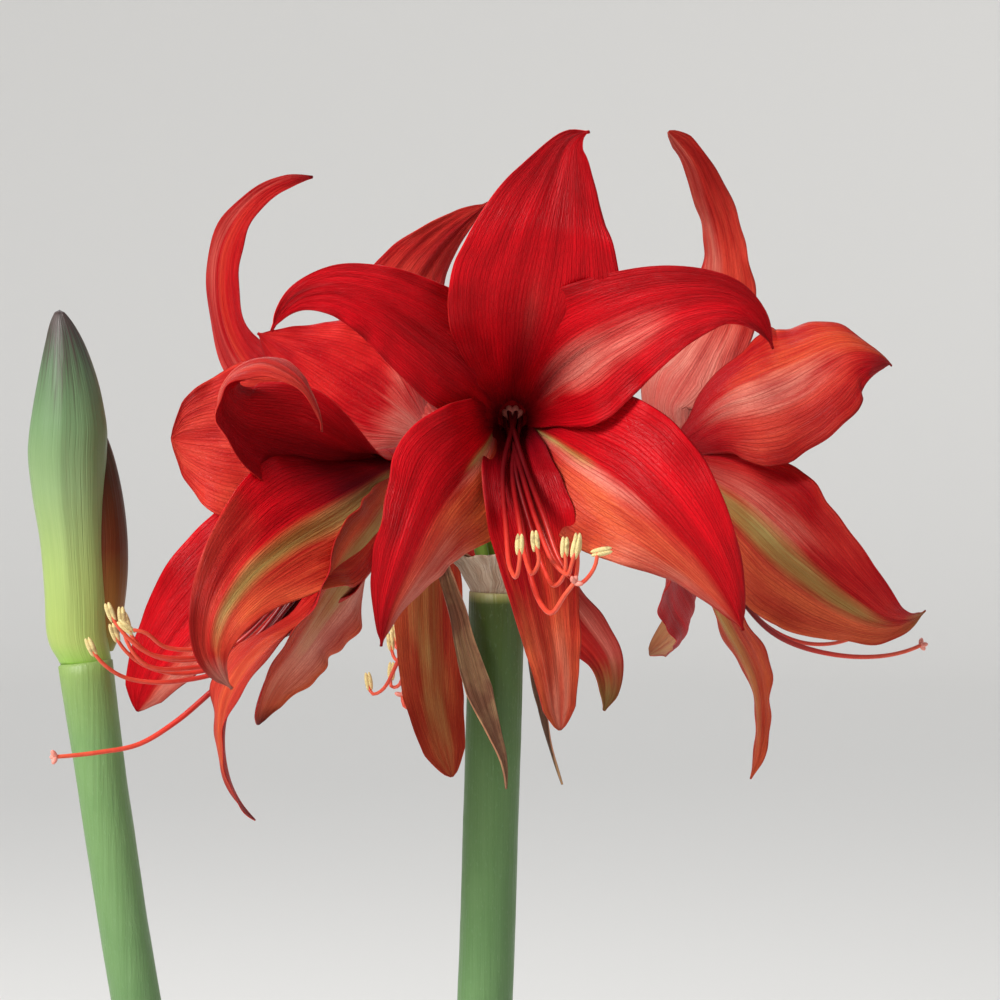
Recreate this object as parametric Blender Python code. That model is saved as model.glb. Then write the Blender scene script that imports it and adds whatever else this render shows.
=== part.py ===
"""Amaryllis in a pot: four open blooms on one scape and a closed bud on another.

Lengths in the tables are millimetres; the blooms' tables are measured from the
top of the main scape.  The object stands on z = 0, centred on its pot, and the
front bloom faces -Y.
"""

import math

import bmesh
import bpy
import numpy as np
from mathutils import Vector

MM = 0.001

# ---- driving dimensions, mm -------------------------------------------------
POT_HEIGHT = 130.0
POT_TOP_RADIUS = 74.0
POT_BASE_RADIUS = 54.0
POT_WALL = 6.0
POT_FLOOR = 8.0
RIM_HEIGHT = 26.0
RIM_STEP = 4.5
SOIL_LEVEL = 117.0
BULB_RADIUS = 45.0
BULB_BOTTOM = 72.0
NECK_HEIGHT = 170.0
NECK_RADIUS = 33.0
NECK_FLATNESS = 0.74
SCAPE_TOP = (34.0, 0.0, 538.0)
SCAPE_RADIUS = 9.3
BUD_SCAPE_RADIUS = 8.4
TEPAL_THICKNESS = 0.9
TUBE_LENGTH = 18.0
TUBE_MOUTH = 8.8
TUBE_BASE = 3.2
FILAMENT_RADIUS = 0.85
STALK_RADIUS = 2.3
OVARY_RADIUS = 4.6
BRACT_THICKNESS = 0.8
GAP = 0.4

# ---- mesh density -----------------------------------------------------------
TEPAL_ROWS = 11
TEPAL_COLUMNS = 5
ROUND_SIDES = 32
SCAPE_SIDES = 16

# Paths of the two scapes, from inside the bulb's neck to the top.
SCAPE_PATH = [(18, 0, 150), (20, 0, 190), (24, 0, 270), (28, 0, 350), (31, 0, 430), SCAPE_TOP]
BUD_SCAPE_PATH = [(-9, 0, 150), (-18, 0, 172), (-42, 1, 230), (-62.5, 2, 290), (-78, 3, 350),
                  (-88, 4, 401), (-97, 5, 460), (-104.2, 6, 513.4)]

# Bud valves: height, middle in x, half-width.
BUD_DEPTH = 0.80
BUD_Y = 6.0
FRONT_VALVE = [(515.2, -104.4, 8.5), (519, -106.5, 9.4), (523, -107.2, 10), (536, -107.3, 10.6),
               (554, -108.2, 11.2), (569, -109.4, 12.4), (583, -110, 13.2), (591, -109.6, 13),
               (598, -109.5, 12), (608, -109.6, 10), (620, -110.4, 6.6), (627, -111.4, 3.8),
               (630.5, -112, 1.6)]
BACK_VALVE = [(517.5, -101.5, 7.5), (523, -101, 9.4), (534, -101, 11), (545, -101, 12),
              (558, -101, 12.3), (572, -102, 11.8), (585, -103.5, 10), (594, -105, 7.5)]
BACK_VALVE_Y = 9.0

# Blooms: throat and facing from the top of the main scape; each tepal has the
# clock angle of its base (0 is up, seen from the front of the bloom), its
# width, where along its blade it is widest, how it tapers, how far its edges
# bend to the inner side (degrees, base to tip) and its midrib.  A midrib point
# may carry the way the inner face looks there.
BLOOMS = {
    "front": dict(throat=(5, -36, 60), facing=(0, -0.97, -0.22), tepals=[
        dict(clock=0, width=56, peak=0.45, tail=1.5, cup=(38, 18, 0, 40), midrib=[
            (8, -60, 84), (13, -78, 105), (17, -84, 124), (21, -80, 140), (26, -76, 151), (30, -78, 151)]),
        dict(clock=60, inner=True, width=44, peak=0.33, tail=1.15, cup=(40, 20, 10, 60), midrib=[
            (23, -60, 76), (42, -76, 86), (62, -82, 92), (78, -80, 88), (86, -75, 76)]),
        dict(clock=118, width=44, peak=0.30, tail=1.2, cup=(35, -15, -30, -40), midrib=[
            (22, -58, 52), (43, -80, 41), (61, -88, 23), (77, -86, -5)]),
        dict(clock=180, inner=True, width=31, peak=0.5, tail=2.4, cup=(45, 25, 10, 20), midrib=[
            (9, -58, 35), (12, -68, 9), (15, -66, -13), (20, -60, -40)]),
        dict(clock=240, width=46, peak=0.30, tail=1.2, cup=(35, -15, -30, -40), midrib=[
            (-8, -58, 51), (-20, -78, 37), (-29, -88, 16), (-37, -86, -11)]),
        dict(clock=300, inner=True, width=46, peak=0.30, tail=1.1, cup=(40, 20, 10, 50), midrib=[
            (-9, -60, 78), (-26, -74, 91), (-44, -80, 99), (-59, -78, 97), (-71, -74, 87)]),
    ]),
    "left": dict(throat=(-35, -18, 40), facing=(-0.75, -0.55, -0.36), tepals=[
        dict(clock=0, width=40, peak=0.28, tail=1.15, cup=(38, 25, 30, 50), midrib=[
            (-51, -30, 47, .1, -.8, -.5), (-69, -40, 52, .2, -.95, .1), (-82, -50, 57, .4, -.7, .5),
            (-88, -55, 66, 1, -.3, .3), (-83, -60, 75, .6, 0, -1), (-73, -66, 79, -.2, .4, -1),
            (-63, -72, 74, -.7, .5, -.8), (-57, -76, 65, -.9, .4, -.3), (-55, -78, 57, -.9, .4, -.2)]),
        dict(clock=300, inner=True, width=42, peak=0.33, tail=1.3, cup=(38, 20, 10, 20), wave=2.4, midrib=[
            (-55, -8, 47), (-75, -2, 53), (-94, 0, 59), (-109, 2, 51)]),
        dict(clock=240, width=42, peak=0.33, tail=1.3, cup=(35, 0, -20, -30), midrib=[
            (-56, -10, 27), (-80, -6, 12), (-100, -4, -5), (-112, -2, -27), (-116, 2, -42)]),
        dict(clock=60, inner=True, width=50, peak=0.33, tail=1.35, cup=(35, -10, -35, -45), midrib=[
            (-51, -44, 30), (-69, -64, 22), (-83, -76, 10), (-91, -82, -3), (-91, -82, -14), (-86, -78, -27)]),
        dict(clock=180, inner=True, width=21, peak=0.55, tail=2.0, cup=(45, 25, 10, 20), midrib=[
            (-44, -30, 8), (-59, -45, -8), (-74, -55, -15), (-86, -58, -31), (-89, -55, -45), (-86, -48, -62),
            (-79, -40, -74)]),
        dict(clock=118, width=40, peak=0.35, tail=1.4, cup=(35, -10, -30, -40), midrib=[
            (-40, -37, 19), (-53, -50, 2), (-64, -58, -16), (-73, -58, -29), (-75, -54, -40)]),
    ]),
    "right": dict(throat=(57, 12, 46), facing=(0.86, 0.35, -0.32), tepals=[
        dict(clock=0, width=38, peak=0.30, tail=1.3, cup=(38, 18, 10, 30), midrib=[
            (68, 18, 63), (82, 22, 83), (84, 20, 100), (78, 16, 120), (69, 10, 137), (57, 6, 153)]),
        dict(clock=300, inner=True, width=48, peak=0.45, tail=2.0, cup=(38, 20, 20, 60), midrib=[
            (78, 0, 58), (97, -10, 70), (117, -10, 80), (131, -2, 75)]),
        dict(clock=240, width=48, peak=0.38, tail=1.4, cup=(35, -10, -30, -40), midrib=[
            (78, 2, 28), (96, -6, 12), (114, -8, -3), (130, 0, -11), (144, 10, -8)]),
        dict(clock=180, inner=True, width=26, peak=0.45, tail=2.2, cup=(45, 25, 10, 20), midrib=[
            (64, 18, 15), (77, 22, -11), (88, 26, -33), (90, 24, -50), (86, 18, -66)]),
        dict(clock=118, width=38, peak=0.33, tail=1.3, cup=(35, 0, -20, -30), midrib=[
            (60, 36, 14), (63, 56, -5), (68, 70, -17), (62, 82, -25), (54, 84, -31)]),
        dict(clock=60, inner=True, width=44, peak=0.35, tail=1.2, cup=(38, 20, 20, 40), midrib=[
            (76, 40, 56), (97, 62, 66), (115, 80, 69), (125, 92, 61)]),
    ]),
    "back": dict(throat=(-20, 38, 48), facing=(-0.45, 0.86, -0.22), tepals=[
        dict(clock=0, width=38, peak=0.38, tail=1.5, cup=(38, 18, 0, 30), midrib=[
            (-27, 46, 61), (-38, 54, 79), (-34, 62, 100), (-20, 68, 116), (-3, 72, 129)]),
        dict(clock=60, inner=True, width=44, peak=0.45, tail=1.6, cup=(38, 20, 10, 30), midrib=[
            (-36, 40, 59), (-54, 44, 67), (-71, 48, 76), (-83, 54, 81)]),
        dict(clock=110, width=34, peak=0.35, tail=1.4, cup=(35, 0, -10, -20), midrib=[
            (-44, 62, 60), (-68, 82, 62), (-88, 94, 72), (-99, 98, 92), (-96, 98, 116), (-82, 92, 132),
            (-65, 84, 138)]),
        dict(clock=170, inner=True, width=32, peak=0.5, tail=2.4, cup=(40, 10, -10, -20), midrib=[
            (-26, 46, 16), (-27, 54, -12), (-24, 54, -40), (-15, 46, -69)]),
        dict(clock=235, width=30, peak=0.40, tail=1.8, cup=(35, 0, -20, -30), midrib=[
            (-4, 66, 18), (14, 78, -5), (28, 80, -22), (36, 72, -36), (36, 62, -47)]),
        dict(clock=300, inner=True, width=44, peak=0.35, tail=1.2, cup=(38, 20, 10, 40), midrib=[
            (-2, 70, 62), (15, 92, 72), (37, 108, 76), (54, 118, 69)]),
    ]),
}

# Filaments outside the throat; the last one of each bloom is the style.
STAMENS = {
    "front": [
        [(2, -60, 44), (3, -80, 26), (4, -92, 16), (6, -99, 13), (7, -102, 18), (7, -102, 22)],
        [(5, -58, 44), (7, -78, 29), (9, -91, 18), (11, -98, 14), (13, -101, 18), (12, -101, 23)],
        [(6, -58, 44), (11, -76, 26), (15, -88, 14), (18, -95, 10), (21, -99, 14), (21, -100, 21)],
        [(8, -60, 45), (15, -82, 30), (20, -95, 18), (22, -101, 14), (23, -104, 17), (24, -104, 21)],
        [(9, -58, 46), (18, -76, 29), (22, -87, 17), (24, -92, 12), (25, -96, 15), (25, -97, 22)],
        [(10, -60, 48), (19, -80, 33), (23, -92, 19), (27, -99, 12), (30, -103, 16), (31, -103, 21)],
        [(6, -56, 40), (9, -74, 23), (11, -88, 11), (14, -96, 4), (17, -101, 2), (21, -105, 8), (24, -106, 12)],
    ],
    "left": [
        [(-46, -27, 30), (-63, -34, 8), (-81, -37, -14), (-96, -41, -18), (-111, -46, -17), (-119, -49, -11), (-124, -50, -4)],
        [(-46, -25, 27), (-63, -31, 4), (-83, -34, -18), (-100, -38, -22), (-113, -42, -21), (-119, -45, -14), (-121, -45, -6)],
        [(-46, -23, 25), (-64, -28, 3), (-84, -30, -21), (-104, -32, -27), (-119, -36, -26), (-126, -40, -22), (-131, -42, -16)],
        [(-46, -26, 32), (-64, -32, 11), (-82, -37, -10), (-96, -44, -15), (-107, -49, -14), (-113, -53, -9), (-118, -54, -8)],
        [(-46, -21, 26), (-65, -24, 2), (-85, -25, -20), (-102, -27, -25), (-113, -30, -23), (-120, -34, -18), (-124, -36, -12)],
        [(-46, -22, 30), (-65, -23, 6), (-86, -21, -16), (-99, -22, -21), (-111, -25, -20), (-117, -28, -16), (-121, -29, -9)],
        [(-46, -25, 23), (-64, -30, 0), (-81, -34, -20), (-92, -38, -29), (-104, -42, -39), (-116, -46, -46), (-128, -50, -48),
         (-142, -54, -49)],
    ],
    "right": [
        [(74, 30, 13), (85, 40, -4), (96, 48, -15), (107, 54, -20), (116, 60, -20), (123, 64, -18)],
        [(73, 34, 11), (84, 46, -7), (94, 55, -18), (106, 62, -24), (118, 68, -25), (128, 72, -22)],
        [(73, 38, 12), (83, 52, -5), (93, 62, -15), (104, 70, -20), (114, 76, -20), (122, 80, -17)],
        [(75, 42, 13), (86, 58, -3), (96, 69, -13), (107, 78, -17), (117, 84, -16), (124, 88, -12)],
        [(74, 46, 12), (85, 62, -5), (97, 74, -15), (109, 84, -19), (120, 92, -18), (128, 96, -15)],
        [(75, 34, 15), (87, 46, -1), (98, 56, -10), (110, 63, -15), (122, 70, -15), (130, 74, -12)],
        [(73, 28, 10), (84, 36, -7), (94, 42, -18), (105, 47, -24), (122, 53, -28), (137, 58, -28), (148, 62, -25)],
    ],
    "back": [
        [(-24, 62, 5), (-27, 74, -10), (-31, 86, -26), (-35, 94, -34), (-37, 98, -33), (-38, 99, -29)],
        [(-23, 64, 3), (-27, 77, -14), (-32, 89, -31), (-35, 97, -43), (-38, 101, -44), (-38, 102, -40)],
        [(-24, 66, 2), (-29, 80, -16), (-35, 92, -33), (-41, 100, -45), (-45, 104, -47), (-46, 105, -44)],
        [(-23, 68, 4), (-24, 82, -13), (-25, 94, -30), (-26, 102, -41), (-28, 106, -41), (-29, 107, -37)],
        [(-22, 66, 6), (-21, 79, -11), (-20, 90, -26), (-19, 97, -35), (-18, 101, -34), (-18, 102, -30)],
        [(-24, 70, 7), (-26, 84, -10), (-30, 95, -23), (-33, 103, -31), (-36, 107, -31), (-37, 108, -27)],
        [(-23, 60, 1), (-26, 74, -19), (-27, 86, -38), (-30, 94, -50), (-33, 98, -51), (-34, 100, -47)],
    ],
}

# Flower stalks, from the top of the scape to the bend behind each ovary.
STALKS = {
    "front": [(1.6, -4.4, 0.5), (1.8, -4.2, 10), (3, -2, 26), (5, 1, 50), (5, 0, 64)],
    "right": [(4.4, 1.2, 0.5), (4.6, 1.3, 10), (9, 2, 26), (18, 1, 46)],
    "left": [(-4.4, -1, 0.5), (-4.6, -1, 10), (-8, -1, 24), (-10, 0.5, 43)],
    "back": [(-1.4, 4.4, 0.5), (-1.5, 4.5, 10), (-2.4, 6, 26), (-4, 8, 45)],
}

# Dried bracts, from the collar round the flower stalks, hanging beside the scape.
BRACTS = [
    dict(width=8.5, midrib=[(-7.5, -3, 3, .4, .3, 1), (-13, -7, 7.5, 0, 0, 1), (-16.5, -10.5, 4, -.7, -.5, .4),
                            (-12.5, -14, -5, -.2, -1, .2), (-10.6, -15.5, -15, -.4, -1, 0), (-7.8, -16, -25, -.2, -1, 0),
                            (-5, -15.5, -35, .2, -1, 0), (-1.3, -15, -46, .6, -1, 0), (1.7, -14.5, -55, .9, -.8, 0),
                            (3, -14, -65, 1, -.5, 0)]),
    dict(width=6.5, midrib=[(6, 5.5, 3, -.3, -.3, 1), (11, 10, 6, 0, 0, 1), (12.5, 13.5, 0, .8, .6, .3),
                            (12, 14, -16, .4, 1, 0), (13, 14, -32, .8, .8, 0), (15.5, 13, -46, 1, .3, 0),
                            (22, 11, -67, 1, -.3, 0)]),
]


# ---- curves and surfaces ----------------------------------------------------
def unit(vector):
    vector = np.asarray(vector, float)
    return vector / np.linalg.norm(vector)


def smooth_path(points, count):
    """Points at even steps along a smooth curve through the given points.

    Also returns where each given point lies, as a share of the length.
    """
    given = np.asarray(points, float)
    chord = np.linalg.norm(np.diff(given, axis=0), axis=1) ** 0.5
    knots = np.concatenate([[0.0], np.cumsum(chord)])
    slopes = np.empty_like(given)
    before, after = chord[:-1, None], chord[1:, None]
    slopes[1:-1] = ((given[1:-1] - given[:-2]) / before * after
                    + (given[2:] - given[1:-1]) / after * before) / (before + after)
    slopes[0] = 2 * (given[1] - given[0]) / chord[0] - slopes[1]
    slopes[-1] = 2 * (given[-1] - given[-2]) / chord[-1] - slopes[-2]
    fine = np.linspace(0, knots[-1], 400)
    index = np.clip(np.searchsorted(knots, fine, side="right") - 1, 0, len(chord) - 1)
    step = chord[index]
    u = (fine - knots[index]) / step
    curve = ((2 * u ** 3 - 3 * u ** 2 + 1)[:, None] * given[index]
             + ((u ** 3 - 2 * u ** 2 + u) * step)[:, None] * slopes[index]
             + (3 * u ** 2 - 2 * u ** 3)[:, None] * given[index + 1]
             + ((u ** 3 - u ** 2) * step)[:, None] * slopes[index + 1])
    run = np.concatenate([[0.0], np.cumsum(np.linalg.norm(np.diff(curve, axis=0), axis=1))])
    even = np.linspace(0, run[-1], count)
    path = np.stack([np.interp(even, run, curve[:, k]) for k in range(3)], axis=1)
    return path, np.interp(knots, fine, run) / run[-1]


def carried_frames(path, first_normal):
    """Tangents, and normals that turn no more than the path does."""
    tangents = np.gradient(path, axis=0)
    tangents /= np.linalg.norm(tangents, axis=1)[:, None]
    normals = np.empty_like(tangents)
    normals[0] = unit(first_normal - np.dot(first_normal, tangents[0]) * tangents[0])
    for i in range(len(path) - 1):
        step = path[i + 1] - path[i]
        normal = normals[i] - 2 * (step @ normals[i]) / (step @ step) * step
        tangent = tangents[i] - 2 * (step @ tangents[i]) / (step @ step) * step
        turn = tangents[i + 1] - tangent
        if turn @ turn > 1e-12:
            normal = normal - 2 * (turn @ normal) / (turn @ turn) * turn
        normals[i + 1] = normal
    return tangents, normals


def turned_frames(path, at, points, first_normal, first_station):
    """Frames along a path whose normal meets the looks that points may carry."""
    tangents, normals = carried_frames(path, first_normal)
    sides = np.cross(tangents, normals)
    stations, angles = [0.0, first_station], [0.0, 0.0]
    for share, point in zip(at, points):
        if len(point) == 6:
            i = int(round(share * (len(path) - 1)))
            look = np.array(point[3:], float)
            angle = math.degrees(math.atan2(look @ sides[i], look @ normals[i]))
            angle += 360 * round((angles[-1] - angle) / 360)
            stations.append(share)
            angles.append(angle)
    roll = np.radians(np.interp(np.linspace(0, 1, len(path)), stations, angles))
    reach = max(3, len(path) // 8)
    kernel = np.hanning(reach + 2)[1:-1]
    roll = np.convolve(np.pad(roll, reach, mode="edge"), kernel / kernel.sum(), mode="same")[reach:-reach]
    cos, sin = np.cos(roll)[:, None], np.sin(roll)[:, None]
    return cos * normals + sin * sides, cos * sides - sin * normals


def clock_radial(facing, clock):
    """The way away from a bloom's axis at a clock angle, and the axis."""
    axis = unit(facing)
    up = unit(np.array([0, 0, 1.0]) - axis[2] * axis)
    angle = math.radians(clock)
    return math.cos(angle) * up + math.sin(angle) * np.cross(up, axis), axis


def tepal_surface(bloom, tepal, rows, columns):
    """Middle surface of one tepal, from inside the tube's wall to its tip."""
    throat = np.array(bloom["throat"], float)
    radial, axis = clock_radial(bloom["facing"], tepal["clock"])
    ring = TUBE_MOUTH - (2.2 if tepal.get("inner") else 0.6)
    start = [throat - axis * TUBE_LENGTH * 0.3 + radial * (ring - 1.2), throat + radial * ring]
    points = start + [np.array(p[:3], float) for p in tepal["midrib"]]
    fine = 6 * (rows - 1) + 1
    path, at = smooth_path(points, fine)
    normals, sides = turned_frames(path, at[2:], tepal["midrib"], -radial, at[1])
    share = np.linspace(0, 1, fine)
    blade = np.clip((share - at[1]) / (1 - at[1]), 0, 1)
    peak, half_width, neck = tepal["peak"], tepal["width"] / 2, 6.5
    rise = np.sin(np.clip(blade / peak, 0, 1) * np.pi / 2) ** 1.3
    fall = np.clip((blade - peak) / (1 - peak), 0, 1)
    falling = (1 - fall ** tepal["tail"]) * np.sqrt(np.clip((1 - blade) / 0.04, 0, 1))
    taper = np.interp(share, [0, at[1]], [0.5, 1.0])
    half = np.where(blade < peak, neck * taper + (half_width - neck) * rise, half_width * falling)
    half = np.maximum(half, 1.1)
    cups = tepal["cup"]
    stations = np.concatenate([[0, at[1]], at[1] + (1 - at[1]) * np.linspace(0.18, 1, len(cups))])
    cup = np.radians(np.interp(share, stations, [60, 55, *cups]))
    s = np.linspace(-1, 1, columns)[None, :]
    bend = (cup / half)[:, None]
    bend = np.where(np.abs(bend) < 1e-5, 1e-5, bend)
    spread = s * half[:, None]
    across = np.sin(bend * spread) / bend
    inward = (1 - np.cos(bend * spread)) / bend
    swell = (np.sin(np.pi * blade) ** 0.7)[:, None]
    inward += (tepal.get("wave", 1.6) * swell * np.abs(s) ** 2.5
               * np.sin(2 * np.pi * (3 * blade[:, None] + 0.35 * (s > 0))))
    inward -= 0.8 * np.exp(-(spread / 2.5) ** 2) * swell
    surface = (path[:, None, :] + across[..., None] * sides[:, None, :]
               + inward[..., None] * normals[:, None, :])
    return surface[::6]


def bract_surface(bract, rows, columns):
    """Middle surface of a dried bract: a long twisted strip that ends in a point."""
    points = [p[:3] for p in bract["midrib"]]
    path, at = smooth_path(points, 6 * (rows - 1) + 1)
    first = np.array(bract["midrib"][0][3:], float)
    normals, sides = turned_frames(path, at[1:], bract["midrib"][1:], first, 0.02)
    share = np.linspace(0, 1, len(path))
    half = bract["width"] / 2 * np.clip(1.15 * np.sin(np.pi * (0.22 + 0.76 * share)) ** 0.8, 0.16, 1)
    s = np.linspace(-1, 1, columns)[None, :]
    surface = (path[:, None, :] + (s * half[:, None])[..., None] * sides[:, None, :]
               + (0.18 * half[:, None] * s ** 2)[..., None] * normals[:, None, :])
    return surface[::6]


# ---- meshes -----------------------------------------------------------------
def placed(points, offset=(0, 0, 0)):
    """Millimetre points as metre vectors."""
    return [Vector((np.asarray(p, float) + offset) * MM) for p in points]


def mesh_object(name, points, faces):
    """An object with outward faces from points in metres."""
    mesh = bpy.data.meshes.new(name)
    mesh.from_pydata([tuple(p) for p in points], [], faces)
    shape = bmesh.new()
    shape.from_mesh(mesh)
    bmesh.ops.recalc_face_normals(shape, faces=shape.faces)
    shape.to_mesh(mesh)
    shape.free()
    obj = bpy.data.objects.new(name, mesh)
    bpy.context.scene.collection.objects.link(obj)
    return obj


def blade(name, surface, thickness, offset=SCAPE_TOP):
    """A closed blade of even thickness round a middle surface."""
    rows, columns, _ = surface.shape
    along = np.gradient(surface, axis=0)
    across = np.gradient(surface, axis=1)
    normals = np.cross(along, across)
    normals /= np.linalg.norm(normals, axis=2)[..., None]
    faces_of = surface.reshape(-1, 3)
    push = normals.reshape(-1, 3) * thickness / 2
    points = placed(np.concatenate([faces_of + push, faces_of - push]), np.array(offset, float))
    count = rows * columns

    def at(i, j):
        return i * columns + j

    faces = []
    for i in range(rows - 1):
        for j in range(columns - 1):
            a, b, c, d = at(i, j), at(i, j + 1), at(i + 1, j + 1), at(i + 1, j)
            near, far = ((a, b, c), (a, c, d)) if (2 * j < columns - 1) else ((a, b, d), (b, c, d))
            for tri in (near, far):
                faces.append(tri)
                faces.append(tuple(v + count for v in reversed(tri)))
    border = ([at(0, j) for j in range(columns)] + [at(i, columns - 1) for i in range(1, rows)]
              + [at(rows - 1, j) for j in range(columns - 2, -1, -1)]
              + [at(i, 0) for i in range(rows - 2, 0, -1)])
    for a, b in zip(border, border[1:] + border[:1]):
        faces.append((a, b, b + count, a + count))
    return mesh_object(name, points, faces)


def rings_object(name, rings):
    """A closed body through rings of points, with a fan over each end."""
    sides = len(rings[0])
    points = [p for ring in rings for p in ring]
    faces = []
    for i in range(len(rings) - 1):
        for j in range(sides):
            k = (j + 1) % sides
            faces.append((i * sides + j, i * sides + k, (i + 1) * sides + k, (i + 1) * sides + j))
    for first in (0, (len(rings) - 1) * sides):
        middle = sum((points[first + j] for j in range(sides)), Vector()) / sides
        points.append(middle)
        for j in range(sides):
            faces.append((first + j, first + (j + 1) % sides, len(points) - 1))
    return mesh_object(name, points, faces)


def sweep(name, points, radii, sides, rows, offset=(0, 0, 0), first=(0, 1, 0)):
    """A round bar along a smooth path; radii are spread evenly along it."""
    path, _ = smooth_path(points, rows)
    tangents, normals = carried_frames(path, np.array(first, float))
    radius = np.interp(np.linspace(0, 1, rows), np.linspace(0, 1, len(radii)), radii)
    rings = []
    for centre, tangent, normal, r in zip(path, tangents, normals, radius):
        side = np.cross(tangent, normal)
        turn = [2 * math.pi * j / sides for j in range(sides)]
        rings.append(placed([centre + r * (math.cos(a) * normal + math.sin(a) * side) for a in turn],
                            np.array(offset, float)))
    return rings_object(name, rings)


def lathe(name, profile, sides, centre=(0, 0, 0), axis=(0, 0, 1), flatness=None):
    """A body turned round an axis from (radius, along) pairs, both ends on the axis."""
    axis = unit(axis)
    first = unit(np.cross(axis, (0, 1, 0) if abs(axis[1]) < 0.9 else (1, 0, 0)))
    second = np.cross(axis, first)
    points, faces, rings = [], [], []
    for k, (radius, along) in enumerate(profile):
        middle = np.asarray(centre, float) + along * axis
        if radius == 0:
            rings.append([len(points)])
            points.append(middle)
            continue
        squash = flatness[k] if flatness else 1.0
        rings.append(list(range(len(points), len(points) + sides)))
        for j in range(sides):
            a = 2 * math.pi * j / sides
            points.append(middle + radius * (math.cos(a) * first + squash * math.sin(a) * second))
    if profile[0] == profile[-1]:
        del points[rings[-1][0]:]
        rings[-1] = rings[0]
    for lower, upper in zip(rings, rings[1:]):
        for j in range(sides):
            k = (j + 1) % sides
            if len(lower) == 1:
                faces.append((lower[0], upper[j], upper[k]))
            elif len(upper) == 1:
                faces.append((lower[j], lower[k], upper[0]))
            else:
                faces.append((lower[j], lower[k], upper[k], upper[j]))
    return mesh_object(name, placed(points), faces)


def ball(name, centre, radii, along, sides=5, rings=3):
    """A stretched ball with its long half-axis radii[1] along a direction."""
    profile = [(radii[0] * math.sin(math.pi * k / rings), -radii[1] * math.cos(math.pi * k / rings))
               for k in range(rings + 1)]
    profile[0], profile[-1] = (0, -radii[1]), (0, radii[1])
    return lathe(name, profile, sides, centre, along)


# ---- fusing -----------------------------------------------------------------
def combined(base, others, operation):
    """The base with a Boolean of the others applied; the others are removed."""
    for other in others:
        modifier = base.modifiers.new("Shape", 'BOOLEAN')
        modifier.operation = operation
        modifier.solver = 'EXACT'
        modifier.object = other
    bpy.context.view_layer.update()
    evaluated = base.evaluated_get(bpy.context.evaluated_depsgraph_get())
    mesh = bpy.data.meshes.new_from_object(evaluated)
    base.modifiers.clear()
    old = base.data
    base.data = mesh
    bpy.data.meshes.remove(old)
    mesh.name = base.name
    for other in others:
        old = other.data
        bpy.data.objects.remove(other)
        bpy.data.meshes.remove(old)
    tidy(base)
    return base


def tidy(obj):
    """Keep the outer shell of a Boolean: small hollows between blades are filled."""
    shape = bmesh.new()
    shape.from_mesh(obj.data)
    shells, seen = [], set()
    for seed in shape.verts:
        if seed in seen:
            continue
        shell, front = {seed}, [seed]
        while front:
            vert = front.pop()
            for edge in vert.link_edges:
                other = edge.other_vert(vert)
                if other not in shell:
                    shell.add(other)
                    front.append(other)
        seen |= shell
        shells.append(shell)
    shells.sort(key=len)
    bmesh.ops.delete(shape, geom=[v for shell in shells[:-1] for v in shell], context='VERTS')
    bmesh.ops.recalc_face_normals(shape, faces=shape.faces)
    shape.to_mesh(obj.data)
    shape.free()


# ---- materials --------------------------------------------------------------
def plain_material(name, colour, roughness):
    material = bpy.data.materials.new(name)
    material.use_nodes = True
    shader = next(n for n in material.node_tree.nodes if n.type == 'BSDF_PRINCIPLED')
    shader.inputs["Base Color"].default_value = (*colour, 1.0)
    shader.inputs["Roughness"].default_value = roughness
    return material


def finish(obj, name, colour, roughness):
    obj.name = name
    obj.data.name = name
    obj.data.materials.clear()
    obj.data.materials.append(plain_material(name, colour, roughness))
    return obj


# ---- sub-parts --------------------------------------------------------------
def local_to_world(point):
    return tuple(np.asarray(point, float) + np.array(SCAPE_TOP))


def perianth(name):
    """One bloom: its tube and six tepals in one body."""
    bloom = BLOOMS[name]
    axis = unit(bloom["facing"])
    throat = local_to_world(bloom["throat"])
    back = -TUBE_LENGTH
    tube = lathe(name + "_tube", [
        (0, back), (TUBE_BASE, back), (TUBE_BASE + 2.4, back * 0.55), (TUBE_MOUTH - 1.2, back * 0.2),
        (TUBE_MOUTH, 0.4), (TUBE_MOUTH - 3.2, 0), (TUBE_MOUTH - 4.1, back * 0.3), (TUBE_MOUTH - 4.4, back * 0.5),
        (0, back * 0.5)], 14, throat, axis)
    blades = [blade(f"{name}_tepal_{k}", tepal_surface(bloom, tepal, TEPAL_ROWS, TEPAL_COLUMNS), TEPAL_THICKNESS)
              for k, tepal in enumerate(bloom["tepals"])]
    return combined(tube, blades, 'UNION')


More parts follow.
